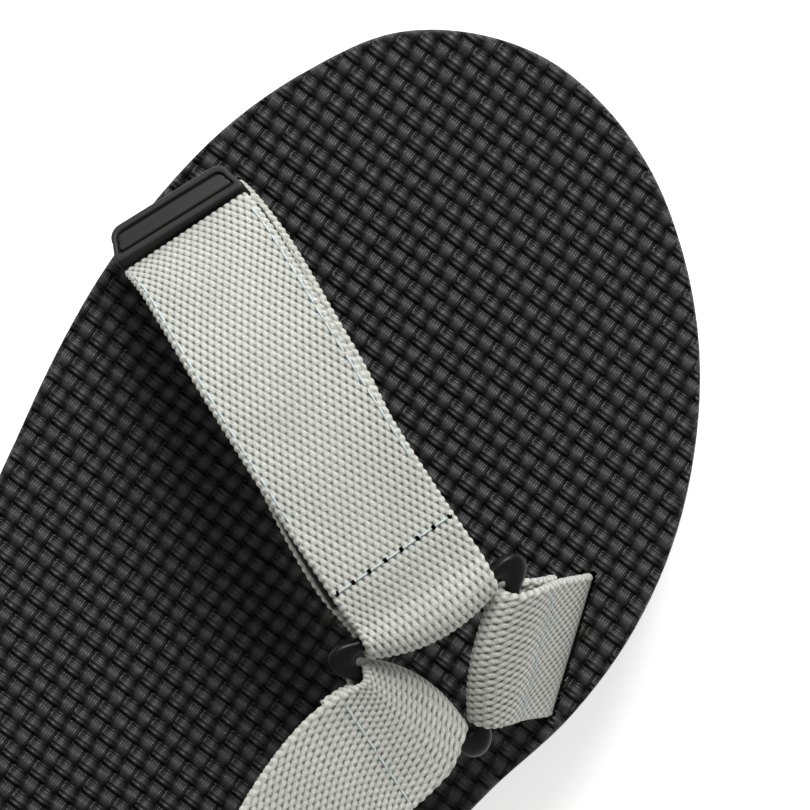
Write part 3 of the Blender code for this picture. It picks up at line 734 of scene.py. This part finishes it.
def tab_outline(inset, slope=0.0):
    """The tab seen from above: narrower and rounder at its outer end."""
    near, far = inset + slope * TAB_SLOPE, TAB_LENGTH - inset
    wide = TAB_HALF_WIDTH - inset
    narrow = wide - TAB_TAPER * (far - near) / TAB_LENGTH
    sharp, soft = TAB_CORNERS
    corners = [(near, -wide, sharp, 180, 270), (far, -narrow, soft, 270, 360),
               (far, narrow, soft, 0, 90), (near, wide, sharp, 90, 180)]
    points = []
    for x, y, radius, start, end in corners:
        radius = min(max(radius - 0.6 * inset, 0.5), 0.48 * (far - near))
        centre_x = x + radius if x == near else x - radius
        centre_y = y + radius if y < 0 else y - radius
        for k in range(9):
            angle = math.radians(start + (end - start) * k / 8)
            points.append((centre_x + radius * math.cos(angle),
                           centre_y + radius * math.sin(angle)))
    return points


def pull_tab(name, middle, outward, across, normal, body, node):
    """The moulded pull tab: a raised rim, a groove and a sandy panel inside it."""
    points, tones = [], []
    for inset, height, tone in TAB_STEPS:
        slope = max((height - TAB_BOTTOM - 0.5) / (TAB_TOP - TAB_BOTTOM - 0.5), 0.0) ** 0.5
        slope = 1.0 if inset > 0.3 and height > 0 else slope
        for x, y in tab_outline(inset, slope):
            points.append(middle + outward * x + across * y + normal * height)
            # Painted shade: the slanted wall on the strap's side is darkened as if it were turned
            # away from the light.
            on_shaded_wall = x < TAB_SLOPE + 0.15 and height < TAB_TOP - 0.1
            tones.append(0.25 if on_shaded_wall else tone)
    size = len(tab_outline(0.0))
    quads = tube_quads(len(TAB_STEPS), size)
    if np.dot(np.cross(outward, across), normal) > 0:
        quads = quads[:, ::-1]
    last = (len(TAB_STEPS) - 1) * size
    piece = make_piece(name, points, quads, TAB,
                       [list(range(size)), list(range(last, last + size))], {"cavity_shade": tones})
    return finish_piece(piece, body, "moulded_rubber", node)


# ---- rings --------------------------------------------------------------------------------
RING_BAR = 1.12                 # half the thickness of the bars
RING_BEND = 3.0                 # radius of the bar's middle line at a corner
RING_CORNER = 1.35              # how much wider the corners are, each side
RING_SIDES = 20


def ring_piece(node):
    """A smooth triangular ring with wide round corners, laid over its CAD solid."""
    cloud = cad_cloud(node)
    centre = cloud.mean(axis=0)
    _, _, axes = np.linalg.svd(cloud - centre)
    normal = axes[2]
    reach = np.linalg.norm(cloud - centre, axis=1)
    corner = unit(cloud[reach.argmax()] - centre)
    corner = unit(corner - normal * corner.dot(normal))
    sideways = np.cross(normal, corner)
    outer = reach.max()
    pin = outer - RING_BEND - RING_BAR - 2 * RING_CORNER
    loops = []
    for third in range(3):
        start = 2 * math.pi * third / 3
        hub = centre + (corner * math.cos(start) + sideways * math.sin(start)) * pin
        for swing in np.linspace(-60, 60, 17):
            angle = start + math.radians(swing)
            radial = corner * math.cos(angle) + sideways * math.sin(angle)
            wide = RING_CORNER * math.cos(math.radians(1.5 * swing)) ** 2
            loops.append((hub + radial * (RING_BEND + wide), radial, RING_BAR + wide))
    points = []
    for middle, radial, half in loops:
        for j in range(RING_SIDES):
            angle = 2 * math.pi * j / RING_SIDES
            squared = 1.0 / (abs(math.cos(angle)) ** 3 + abs(math.sin(angle)) ** 3) ** (1 / 3)
            points.append(middle + radial * half * math.cos(angle) * squared
                          + normal * RING_BAR * math.sin(angle) * squared)
    quads = tube_quads(len(loops) + 1, RING_SIDES) % len(points)
    piece = make_piece("visual_" + node, points, quads, PLASTIC)
    return finish_piece(piece, ROOT, "moulded_plastic", node)


# ---- the sole -----------------------------------------------------------------------------
def closed_curve(points, step):
    """A smooth closed curve through points, at an even spacing."""
    points = np.asarray(points, float)
    ring = np.vstack([points[-2:], points, points[:3]])
    lengths = np.concatenate([[0.0], np.cumsum(np.linalg.norm(np.diff(ring, axis=0), axis=1))])
    tangents = np.gradient(ring, lengths, axis=0)
    start, end = lengths[2], lengths[len(points) + 2]
    places = np.linspace(start, end, int((end - start) / step), endpoint=False)
    index = np.clip(np.searchsorted(lengths, places, side="right") - 1, 0, len(lengths) - 2)
    span = (lengths[index + 1] - lengths[index])[:, None]
    t = ((places - lengths[index]) / span[:, 0])[:, None]
    return hermite(ring, tangents, index, t, span)


# Edge of the sole seen from above, heel tip first, up the inner side and down the outer side.
SOLE_OUTLINE = [
    (-1.0, -137.5), (-17.0, -133.0), (-31.0, -119.0), (-36.5, -95.0), (-36.5, -70.0),
    (-37.5, -40.0), (-40.5, -10.0), (-44.5, 15.0), (-48.2, 38.0), (-50.8, 56.0),
    (-51.6, 69.0), (-50.8, 84.0), (-47.5, 101.0), (-42.0, 114.5), (-32.9, 128.0),
    (-22.0, 134.7), (-10.0, 137.4), (1.5, 136.0), (13.0, 131.6), (24.5, 123.5),
    (35.0, 112.4), (43.7, 98.0), (49.2, 83.0), (51.6, 66.0), (50.6, 51.0),
    (46.5, 34.5), (43.0, 15.0), (39.5, -10.0), (37.5, -40.0), (37.0, -70.0),
    (36.0, -97.0), (29.5, -120.0), (15.0, -133.5)]


class Surface:
    """The top and underside of a CAD node."""

    def __init__(self, node):
        data = cad_mesh(node)
        self.tree = BVHTree.FromBMesh(data)
        data.free()

    def probe(self, x, y, start, direction):
        """Height of the first face on a vertical ray, or None beside the node."""
        hit = self.tree.ray_cast(Vector((x, y, start)) * MM, Vector((0, 0, direction)))[0]
        return None if hit is None else hit.z / MM

    def top(self, x, y):
        return self.probe(x, y, 500.0, -1)

    def bottom(self, x, y):
        return self.probe(x, y, -500.0, 1)


PROBE_X = -4.0                 # inside both tips of the sole
PROBE_Y = 135.5
STRAND_MIDDLE = 0.42           # a strand's mean height and its wave, of the weave's depth
STRAND_WAVE = 0.56
STRAND_EDGE = 0.62             # how far a strand falls away at its sides
STRAND_FULLNESS = 2.3          # the fuller, the nearer to the middle that begins
STRAND_RIDGE = 0.05


def weave_relief(a, b):
    """Height from 0 to 1 of the plain weave at lattice places a (across) and b (along)."""
    side_b = b - np.floor(b) - 0.5
    side_a = a - np.floor(a) - 0.5
    row_sign = 1 - 2 * np.mod(np.floor(b), 2)
    column_sign = 1 - 2 * np.mod(np.floor(a), 2)
    strand_a = STRAND_MIDDLE + STRAND_WAVE * row_sign * np.cos(math.pi * (a - 0.5))
    strand_b = STRAND_MIDDLE - STRAND_WAVE * column_sign * np.cos(math.pi * (b - 0.5))
    strand_a = strand_a - STRAND_EDGE * np.abs(STRAND_FULLNESS * side_b) ** 4
    strand_a = strand_a + STRAND_RIDGE * np.cos(6 * math.pi * side_b)
    strand_b = strand_b - STRAND_EDGE * np.abs(STRAND_FULLNESS * side_a) ** 4
    return np.clip(np.maximum(strand_a, strand_b), 0.0, 1.05)


def inside_polygon(points, polygon):
    """Which points lie inside a closed polygon."""
    inside = np.zeros(len(points), bool)
    x, y = points[:, 0], points[:, 1]
    after = np.roll(polygon, -1, axis=0)
    for (x1, y1), (x2, y2) in zip(polygon, after):
        if y1 == y2:
            continue
        crosses = (y1 > y) != (y2 > y)
        inside ^= crosses & (x < (x2 - x1) * (y - y1) / (y2 - y1) + x1)
    return inside


FOOTBED_PARTS = (("footbed_fore", 45.0, 200.0), ("footbed_waist", -45.0, 45.0),
                 ("footbed_rear", -200.0, -45.0))
# Share of the height from the rim down to the underside, and how far in the wall stands.
WALL_SHAPE = ((0.06, -0.08), (0.25, -0.14), (0.5, -0.04), (0.8, -0.10), (1.0, 0.0), (1.0, 4.0))
WALL_TONE = 0.55


def footbed_grid(outline):
    """Weave places, plan places and inside quads of a grid in line with the weave."""
    low, high = outline.min(axis=0) - 6, outline.max(axis=0) + 6
    reach = int(max(high - low) * CELL_STEPS / WEAVE_PITCH) // 2 + 12
    ia, ib = np.meshgrid(np.arange(-reach // 2 - 10, reach // 2 + 11),
                         np.arange(-reach, reach + 1), indexing="ij")
    offset = np.round((low + high) / 2 / WEAVE_PITCH)
    a, b = ia / CELL_STEPS + offset[0], ib / CELL_STEPS + offset[1]
    turn, lean = math.cos(WEAVE_TURN), math.sin(WEAVE_TURN)
    x = (a * turn - b * lean) * WEAVE_PITCH
    y = (a * lean + b * turn) * WEAVE_PITCH
    places = np.stack([x.ravel(), y.ravel()], 1)
    index = np.arange(ia.size).reshape(ia.shape)
    quads = np.stack([index[:-1, :-1], index[1:, :-1], index[1:, 1:], index[:-1, 1:]],
                     -1).reshape(-1, 4)
    inside = inside_polygon(places[quads].mean(axis=1), outline)
    return a.ravel(), b.ravel(), places, quads[inside]


def outer_edges(quads):
    """The edges that belong to one quad only, in that quad's direction."""
    edges = np.concatenate([quads[:, [k, (k + 1) % 4]] for k in range(4)])
    _, inverse, counts = np.unique(np.sort(edges, axis=1), axis=0, return_inverse=True,
                                   return_counts=True)
    return edges[counts[inverse.ravel()] == 1]


def move_to_outline(places, rim, outline):
    """Put the rim's corners on the nearest points of the sole's edge."""
    finder = KDTree(len(outline))
    for i, point in enumerate(outline):
        finder.insert((point[0], point[1], 0.0), i)
    finder.balance()
    for i in rim:
        found = finder.find((places[i][0], places[i][1], 0.0))[0]
        places[i] = (found[0], found[1])


def build_footbed(outline):
    """The embossed footbed in three pieces that share their seams."""
    surface = Surface("footbed")
    a, b, places, quads = footbed_grid(outline)
    rim_edges = outer_edges(quads)
    rim = np.unique(rim_edges)
    move_to_outline(places, rim, outline)
    relief = weave_relief(a, b)
    heights = np.zeros(len(places))
    for i in np.unique(quads):
        top = surface.top(*places[i])
        heights[i] = surface.top(*(places[i] * RIM_INSET)) if top is None else top
    underside = {}
    for i in rim:
        inner = places[i] * RIM_INSET
        heights[i] = surface.top(*inner)
        underside[i] = surface.bottom(*inner)
    points = np.column_stack([places, heights - WEAVE_DEPTH * (1.0 - relief)])
    # Painted shade: the footbed's colour darkens with the weave's depth.
    tones = np.clip(relief, 0.0, 1.0)
    along = points[quads].mean(axis=1)[:, 1]
    for name, low, high in FOOTBED_PARTS:
        chosen = quads[(along >= low) & (along < high)]
        build_footbed_piece(name, points, tones, chosen, rim_edges, underside)


def build_footbed_piece(name, points, tones, quads, rim_edges, underside):
    """One stretch of the footbed with the cut foam wall under its rim."""
    used = np.unique(quads)
    rim = rim_edges[np.isin(rim_edges, used).all(axis=1)]
    corners = np.unique(rim)
    foot = np.array([underside[i] for i in corners])
    inward = -unit(points[corners, :2] * (1.0, 0.1))
    layers = [points[used]]
    faces = [np.searchsorted(used, quads)]
    upper = np.searchsorted(used, rim)
    for k, (share, inset) in enumerate(WALL_SHAPE):
        ring = points[corners]
        ring[:, 2] = ring[:, 2] * (1 - share) + foot * share
        ring[:, :2] += inward * inset
        layers.append(ring)
        lower = len(used) + k * len(corners) + np.searchsorted(corners, rim)
        faces.append(np.column_stack([upper[:, 1], upper[:, 0], lower[:, 0], lower[:, 1]]))
        upper = lower
    wall_tones = np.full(len(corners) * len(WALL_SHAPE), WALL_TONE)
    piece = make_piece(name, np.vstack(layers), np.concatenate(faces), FOOTBED, (),
                       {"cavity_shade": np.concatenate([tones[used], wall_tones])})
    finish_piece(piece, ROOT, "footbed_eva", "footbed")


def outline_inset(outline, distance):
    """The sole's edge, which runs clockwise, moved inwards along its own normals."""
    tangent = unit(np.roll(outline, -1, axis=0) - np.roll(outline, 1, axis=0))
    return outline + np.column_stack([tangent[:, 1], -tangent[:, 0]]) * distance


# Inset of the midsole's wall at shares of its height: foot, groove at the waist and shoulder.
MIDSOLE_SHAPE = [
    (3.0, 0.0), (0.9, 0.0), (0.3, 0.05), (0.1, 0.16), (0.1, 0.30), (0.25, 0.34), (0.75, 0.37),
    (0.75, 0.41), (0.25, 0.44), (0.15, 0.52), (0.2, 0.7), (0.3, 0.88), (0.55, 0.97), (1.2, 1.0),
    (3.0, 1.0)]


def build_midsole(outline):
    """The midsole's wall: a soft shoulder, a shallow waist groove and a moulded foot."""
    surface = Surface("midsole")
    levels = [(surface.bottom(PROBE_X, y), surface.top(PROBE_X, y))
              for y in np.clip(outline[:, 1], -PROBE_Y, PROBE_Y)]
    low = np.array([level[0] for level in levels])
    high = np.array([level[1] for level in levels])
    points = []
    for inset, share in MIDSOLE_SHAPE:
        edge = outline_inset(outline, inset)
        points.append(np.column_stack([edge, low + (high - low) * share]))
    rings, size = len(MIDSOLE_SHAPE), len(outline)
    piece = make_piece("midsole_foam", np.vstack(points), tube_quads(rings, size), FOAM,
                       end_caps(rings, size))
    fix_normals(piece)
    finish_piece(piece, ROOT, "midsole_eva", "midsole")


def fix_normals(piece):
    """Turn all faces outwards."""
    data = bmesh.new()
    data.from_mesh(piece.data)
    bmesh.ops.recalc_face_normals(data, faces=data.faces)
    data.to_mesh(piece.data)
    data.free()
    piece.data.shade_smooth()


OUTSOLE_THICKNESS = 4.5
OUTSOLE_STEP = 0.7
OUTSOLE_COLUMNS = 48
OUTSOLE_END = 6.0               # stretch at each end where the stations crowd together
GROOVE_PITCH = 14.0
GROOVE_HALF = 1.7
GROOVE_DEPTH = 2.0
ZIGZAG_SWING = 4.0
ZIGZAG_DEPTH = 1.6
SIDE_LINE = 0.62                # place of the lengthwise lines, as a share of the half width
SIPE_DEPTH = 0.8
PLAIN_HALF = 9.0                # half length of the plain stretch at the waist


def groove(distance, half, wall):
    """1 inside a groove, falling to 0 over the width of its wall."""
    return np.clip((half + wall - distance) / wall, 0.0, 1.0)


def tread_depth(x, y, u):
    """How deep the tread is cut: cross grooves, a zigzag down the middle and fine sipes."""
    away = np.abs(y) > PLAIN_HALF
    phase = np.mod(y, GROOVE_PITCH)
    cross = groove(np.abs(phase - GROOVE_PITCH / 2), GROOVE_HALF, 0.6) * GROOVE_DEPTH
    centre = ZIGZAG_SWING * (np.abs(np.mod(y / GROOVE_PITCH, 1.0) - 0.5) * 4 - 1)
    zigzag = groove(np.abs(x - centre), 1.1, 0.5) * ZIGZAG_DEPTH * away
    lines = groove(np.abs(np.abs(u) - SIDE_LINE), 0.018, 0.02)
    sipes = groove(np.minimum(phase, GROOVE_PITCH - phase), 0.35, 0.25) * SIPE_DEPTH * away
    return np.maximum.reduce([cross, zigzag, lines, sipes])


def build_outsole(outline):
    """The rubber outsole with its tread, on a fine grid of stations."""
    surface = Surface("outsole")
    low, high = outline[:, 1].min() + 0.15, outline[:, 1].max() - 0.15
    even = np.arange(low + OUTSOLE_END, high - OUTSOLE_END, OUTSOLE_STEP)
    ends = np.linspace(0.0, 1.0, 14) ** 2 * OUTSOLE_END
    stations = np.unique(np.round(np.concatenate([low + ends, even, high - ends]), 3))
    u = np.linspace(-1.0, 1.0, OUTSOLE_COLUMNS + 1)
    rings = []
    segments = np.stack([outline, np.roll(outline, -1, axis=0)], 1)
    for y in stations:
        crossing = segments[(segments[:, 0, 1] <= y) != (segments[:, 1, 1] <= y)]
        share = (y - crossing[:, 0, 1]) / (crossing[:, 1, 1] - crossing[:, 0, 1])
        x = crossing[:, 0, 0] + share * (crossing[:, 1, 0] - crossing[:, 0, 0])
        row = (x.min() + x.max()) / 2 + u * ((x.max() - x.min()) / 2 - 0.05)
        top = surface.top(PROBE_X, float(np.clip(y, -PROBE_Y, PROBE_Y)))
        flat = np.full_like(row, y)
        under = top - OUTSOLE_THICKNESS + tread_depth(row, flat, u)
        rings.append(np.vstack([np.column_stack([row, flat, np.full_like(row, top)]),
                                np.column_stack([row, flat, under])[::-1]]))
    size = 2 * len(u)
    piece = make_piece("outsole_rubber", np.vstack(rings), tube_quads(len(rings), size), RUBBER,
                       end_caps(len(rings), size))
    fix_normals(piece)
    piece.data.set_sharp_from_angle(angle=math.radians(40))
    finish_piece(piece, ROOT, "outsole_rubber", "outsole")


# ---- straps, one function each -------------------------------------------------------------
FOLD_LENGTH = 16.0              # from the end of the base ribbon back round the ring bar
FOLD_APEX = 11.4                # from the end of the base ribbon back to the fold's far side
TAIL_APEX = 15.4                # from the end of a sewn-back tail to the fold's far side
BLEND_REACH = 4.5
# The toe strap's base is not quite in line with its flap: shares of its length, pushes in mm.
BASE_SLIDE = ((0.0, 0.35, 0.55, 0.88, 1.0), (0.0, 1.2, 1.0, -0.9, 0.0))
TAPE_SLIDE = ((0.0, 0.3, 1.0), (0.9, 0.8, -1.3))
TOE_TRIM = 1.3
TOE_TURN = math.radians(-10.0)
END_TURN_REACH = 34.0


def joint_named(name):
    """The joint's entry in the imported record."""
    return next(joint for joint in frame["record"]["behaviour"]["joints"]
                if joint["name"] == name)


def closure(name, start_near, facing, flap_facing, base_slide=None, tape_slide=None, trim=0.0,
            turn=0.0):
    """Base, tapes, fold-back flap and tab of one strap.

    The base and its tape may be slid sideways under the flap, whose end may be trimmed and turned.
    Returns the outer strap's route, the distance along it to the hinge and the fold line.
    """
    body = name + "_flap"
    hinge = np.array(joint_named(body + "_peel")["pos_m"]) / MM
    base = cad_route(name + "_strap_base", start_near, facing)
    cad_flap = cad_route(name + "_strap_flap", hinge, flap_facing)
    flap = cad_flap
    if trim or turn:
        flap = cad_flap.part(0.0, cad_flap.total - trim).end_turned(turn, END_TURN_REACH)
    lower = base.part(0.0, base.total - FOLD_LENGTH)
    if base_slide:
        lower = lower.slid(*base_slide)
    fold = base.part(base.total - FOLD_LENGTH, base.total, 0.7).turned_over()
    outer = fold.joined(flap)
    webbing(name + "_webbing_base", lower, ROOT, name + "_strap_base")
    piece = strip(name + "_webbing_flap", outer, WEBBING_WIDTH, WEBBING_HALF, grain_relief,
                  WEBBING, fold=FOLD_LENGTH - FOLD_APEX)
    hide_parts(name + "_strap_flap")
    away = unit(flap.middles[1] - flap.middles[0])
    fold_line = (tuple((flap.middles[0] - away * BLEND_REACH) * MM),
                 tuple((flap.middles[0] + away * BLEND_REACH) * MM))
    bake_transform(piece)
    near = tuple(cad_flap.middles[-1])
    facing = tuple(cad_flap.normals[-1])
    tape(name + "_loop_tape", name + "_loop_patch", ROOT, near, facing, tape_slide)
    tape(name + "_hook_tape", name + "_hook_patch", body, near, facing)
    tab_on(name, cad_flap, flap)
    return outer, outer.total - flap.total, fold_line


def tab_on(name, cad_flap, flap):
    """The pull tab on the end of a flap, in the plane of its CAD solid."""
    cloud = cad_cloud(name + "_pull_tab")
    centre = cloud.mean(axis=0)
    _, _, axes = np.linalg.svd(cloud - centre)
    normal = axes[2] if axes[2].dot(flap.normals[-1]) > 0 else -axes[2]

    def directions(route):
        across = route.acrosses[-1]
        across = unit(across - normal * across.dot(normal))
        outward = np.cross(across, normal)
        if outward.dot(centre - route.middles[-1]) < 0:
            outward = -outward
        return across, outward

    _, cad_outward = directions(cad_flap)
    gap = (cloud - cad_flap.middles[-1]).dot(cad_outward).min() - 0.6
    across, outward = directions(flap)
    start = flap.middles[-1] + outward * gap
    start = start + normal * ((centre - start).dot(normal))
    pull_tab(name + "_moulded_tab", start, outward, across, normal, name + "_flap",
             name + "_pull_tab")


def build_closures():
    """The toe, ankle and heel closures with their stitches."""
    slot_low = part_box("toe_strap_base")[0]
    toe_start = (slot_low[0] / MM, slot_low[1] / MM + 30, slot_low[2] / MM)
    outer, hinge, fold_line = closure("toe", toe_start, (-1, 0, 0.1), (0, 0, 1), BASE_SLIDE,
                                      TAPE_SLIDE, TOE_TRIM, TOE_TURN)
    cross = hinge + 2.0
    stitch_row("toe_cross_stitch", outer, "toe_flap", (cross, -11.0), (cross, 11.0), True,
               fold_line)
    for number, across in enumerate((-11.0, 11.0)):
        stitch_row("toe_edge_stitch_" + str(number), outer, "toe_flap",
                   (cross + 12.0, across), (outer.total - 3.0, across))
    for name, facing in (("ankle", (0.9, -0.2, 0.1)), ("heel", (0.9, 0.2, 0.0))):
        ring_low, ring_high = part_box("medial_ankle_ring")
        start = tuple((np.array(ring_low) + np.array(ring_high)) / 2 / MM)
        outer, _, _ = closure(name, start, (1, 0, 0), facing)
        cross = outer.total - 6.0
        stitch_row(name + "_tab_stitch", outer, name + "_flap", (cross, -10.0), (cross, 10.0))


def build_plain_straps():
    """Anchor straps and instep strap, each with its line of stitches by the ring."""
    for node, start, facing in (
            ("forefoot_anchor_strap", (35.0, 53.0, 40.0), (-0.9, 0, -0.3)),
            ("lateral_anchor_strap", (36.0, -50.0, 60.0), (-1, 0, 0)),
            ("medial_anchor_strap", (-36.0, -47.0, 60.0), (1, 0, 0)),
            ("instep_strap", (27.0, 28.0, 45.0), (-0.6, 0, -0.8))):
        route = cad_route(node, start, facing)
        webbing(node + "_webbing", route, ROOT, node, fold=TAIL_APEX)
        cross = 29.0 if node == "instep_strap" else 27.0
        stitch_row(node + "_stitch", route, ROOT, (cross, -10.4), (cross, 10.4))


PAD_HALF_WIDTH = 15.0
PAD_HALF_THICKNESS = 1.55
PAD_END = 5.0                   # length over which the ends narrow and thin
PAD_ROWS = 150
PAD_COLUMNS = 60
WALE_PITCH = 0.9


def build_heel_pad():
    """The heel pad: a crowned cushion with a bound edge, on the inner side of the strap."""
    route = cad_route("heel_pad", (-20.0, -115.0, 95.0), (1, 0, 0), *CAD_PAD)
    along = np.linspace(0.0, route.total, PAD_ROWS + 1)
    middles, acrosses, normals = route.at(along)
    ring = np.linspace(0.0, 2 * math.pi, PAD_COLUMNS, endpoint=False)
    end = np.clip(np.minimum(along, route.total - along) / PAD_END, 0.0, 1.0)
    end = np.sqrt(1 - (1 - end) ** 2)
    width = PAD_HALF_WIDTH * (0.80 + 0.20 * end)
    crown = PAD_HALF_THICKNESS * (0.35 + 0.65 * end)
    seam = 1.0 - 0.22 * np.exp(-((np.abs(np.cos(ring)) - 0.86) / 0.05) ** 2)
    u = np.sign(np.cos(ring)) * np.abs(np.cos(ring)) ** 0.7
    v = np.sign(np.sin(ring)) * np.abs(np.sin(ring)) ** 0.75 * seam
    points = (middles[:, None, :] + acrosses[:, None, :] * (width[:, None] * u)[..., None]
              + normals[:, None, :] * (crown[:, None] * v)[..., None])
    wale = np.tile(u * PAD_HALF_WIDTH / WALE_PITCH * 2 * math.pi, PAD_ROWS + 1)
    piece = make_piece("heel_cushion", points.reshape(-1, 3),
                       tube_quads(PAD_ROWS + 1, PAD_COLUMNS), KNIT,
                       end_caps(PAD_ROWS + 1, PAD_COLUMNS), {"wale": wale})
    fix_normals(piece)
    finish_piece(piece, ROOT, "neoprene", "heel_pad")


# ---- studio -------------------------------------------------------------------------------
AIM = Vector((0.0008, 0.0784, 0.023))     # metres
FIELD = 0.1306                  # metres seen across the picture at the footbed
DISTANCE = 2.5                  # metres
SENSOR = 36.0
CAMERA_TURN = math.radians(33.4)
SKY = 0.36                      # strength of the surroundings
KEY_PLACE = Vector((-0.18, 0.48, 0.45))
KEY_SIZE = 0.34
KEY_POWER = 4.1
FLOOR_HALF = 3000               # mm
FLOOR_LEVEL = -0.05


def add_floor():
    """The white floor, which isn't part of the object."""
    corners = [(x * FLOOR_HALF, y * FLOOR_HALF, FLOOR_LEVEL)
               for x, y in ((-1, -1), (1, -1), (1, 1), (-1, 1))]
    floor = make_piece("studio_floor", corners, [(0, 1, 2, 3)], floor_material())


def add_key_light():
    """One soft light, mainly from the toe side."""
    light = bpy.data.lights.new("key", "AREA")
    light.shape = "DISK"
    light.size = KEY_SIZE
    light.energy = KEY_POWER
    obj = bpy.data.objects.new("key", light)
    obj.location = KEY_PLACE
    obj.rotation_euler = (AIM - KEY_PLACE).to_track_quat("-Z", "Y").to_euler()
    bpy.context.scene.collection.objects.link(obj)


def add_camera():
    """A distant camera straight above the forefoot."""
    camera = bpy.data.cameras.new("camera")
    camera.sensor_width = SENSOR
    camera.lens = SENSOR * DISTANCE / FIELD
    camera.clip_end = 20.0
    obj = bpy.data.objects.new("camera", camera)
    obj.location = AIM + Vector((0.0, 0.0, DISTANCE))
    obj.rotation_euler = (0.0, 0.0, CAMERA_TURN)
    bpy.context.scene.collection.objects.link(obj)
    bpy.context.scene.camera = obj


def build_studio():
    """Lit white floor, pale surroundings, one light and the camera."""
    world = bpy.data.worlds.new("studio")
    world.use_nodes = True
    background = world.node_tree.nodes["Background"]
    background.inputs["Color"].default_value = (1.0, 1.0, 1.0, 1.0)
    background.inputs["Strength"].default_value = SKY
    bpy.context.scene.world = world
    bpy.context.scene.view_settings.view_transform = "Standard"
    add_floor()
    add_key_light()
    add_camera()


def main():
    outline = closed_curve(SOLE_OUTLINE, 0.3)
    build_footbed(outline)
    build_midsole(outline[::3])
    build_outsole(outline)
    for node in ("forefoot_ring", "lateral_ankle_ring", "medial_ankle_ring"):
        ring_piece(node)
    build_closures()
    build_plain_straps()
    build_heel_pad()
    build_studio()


main()
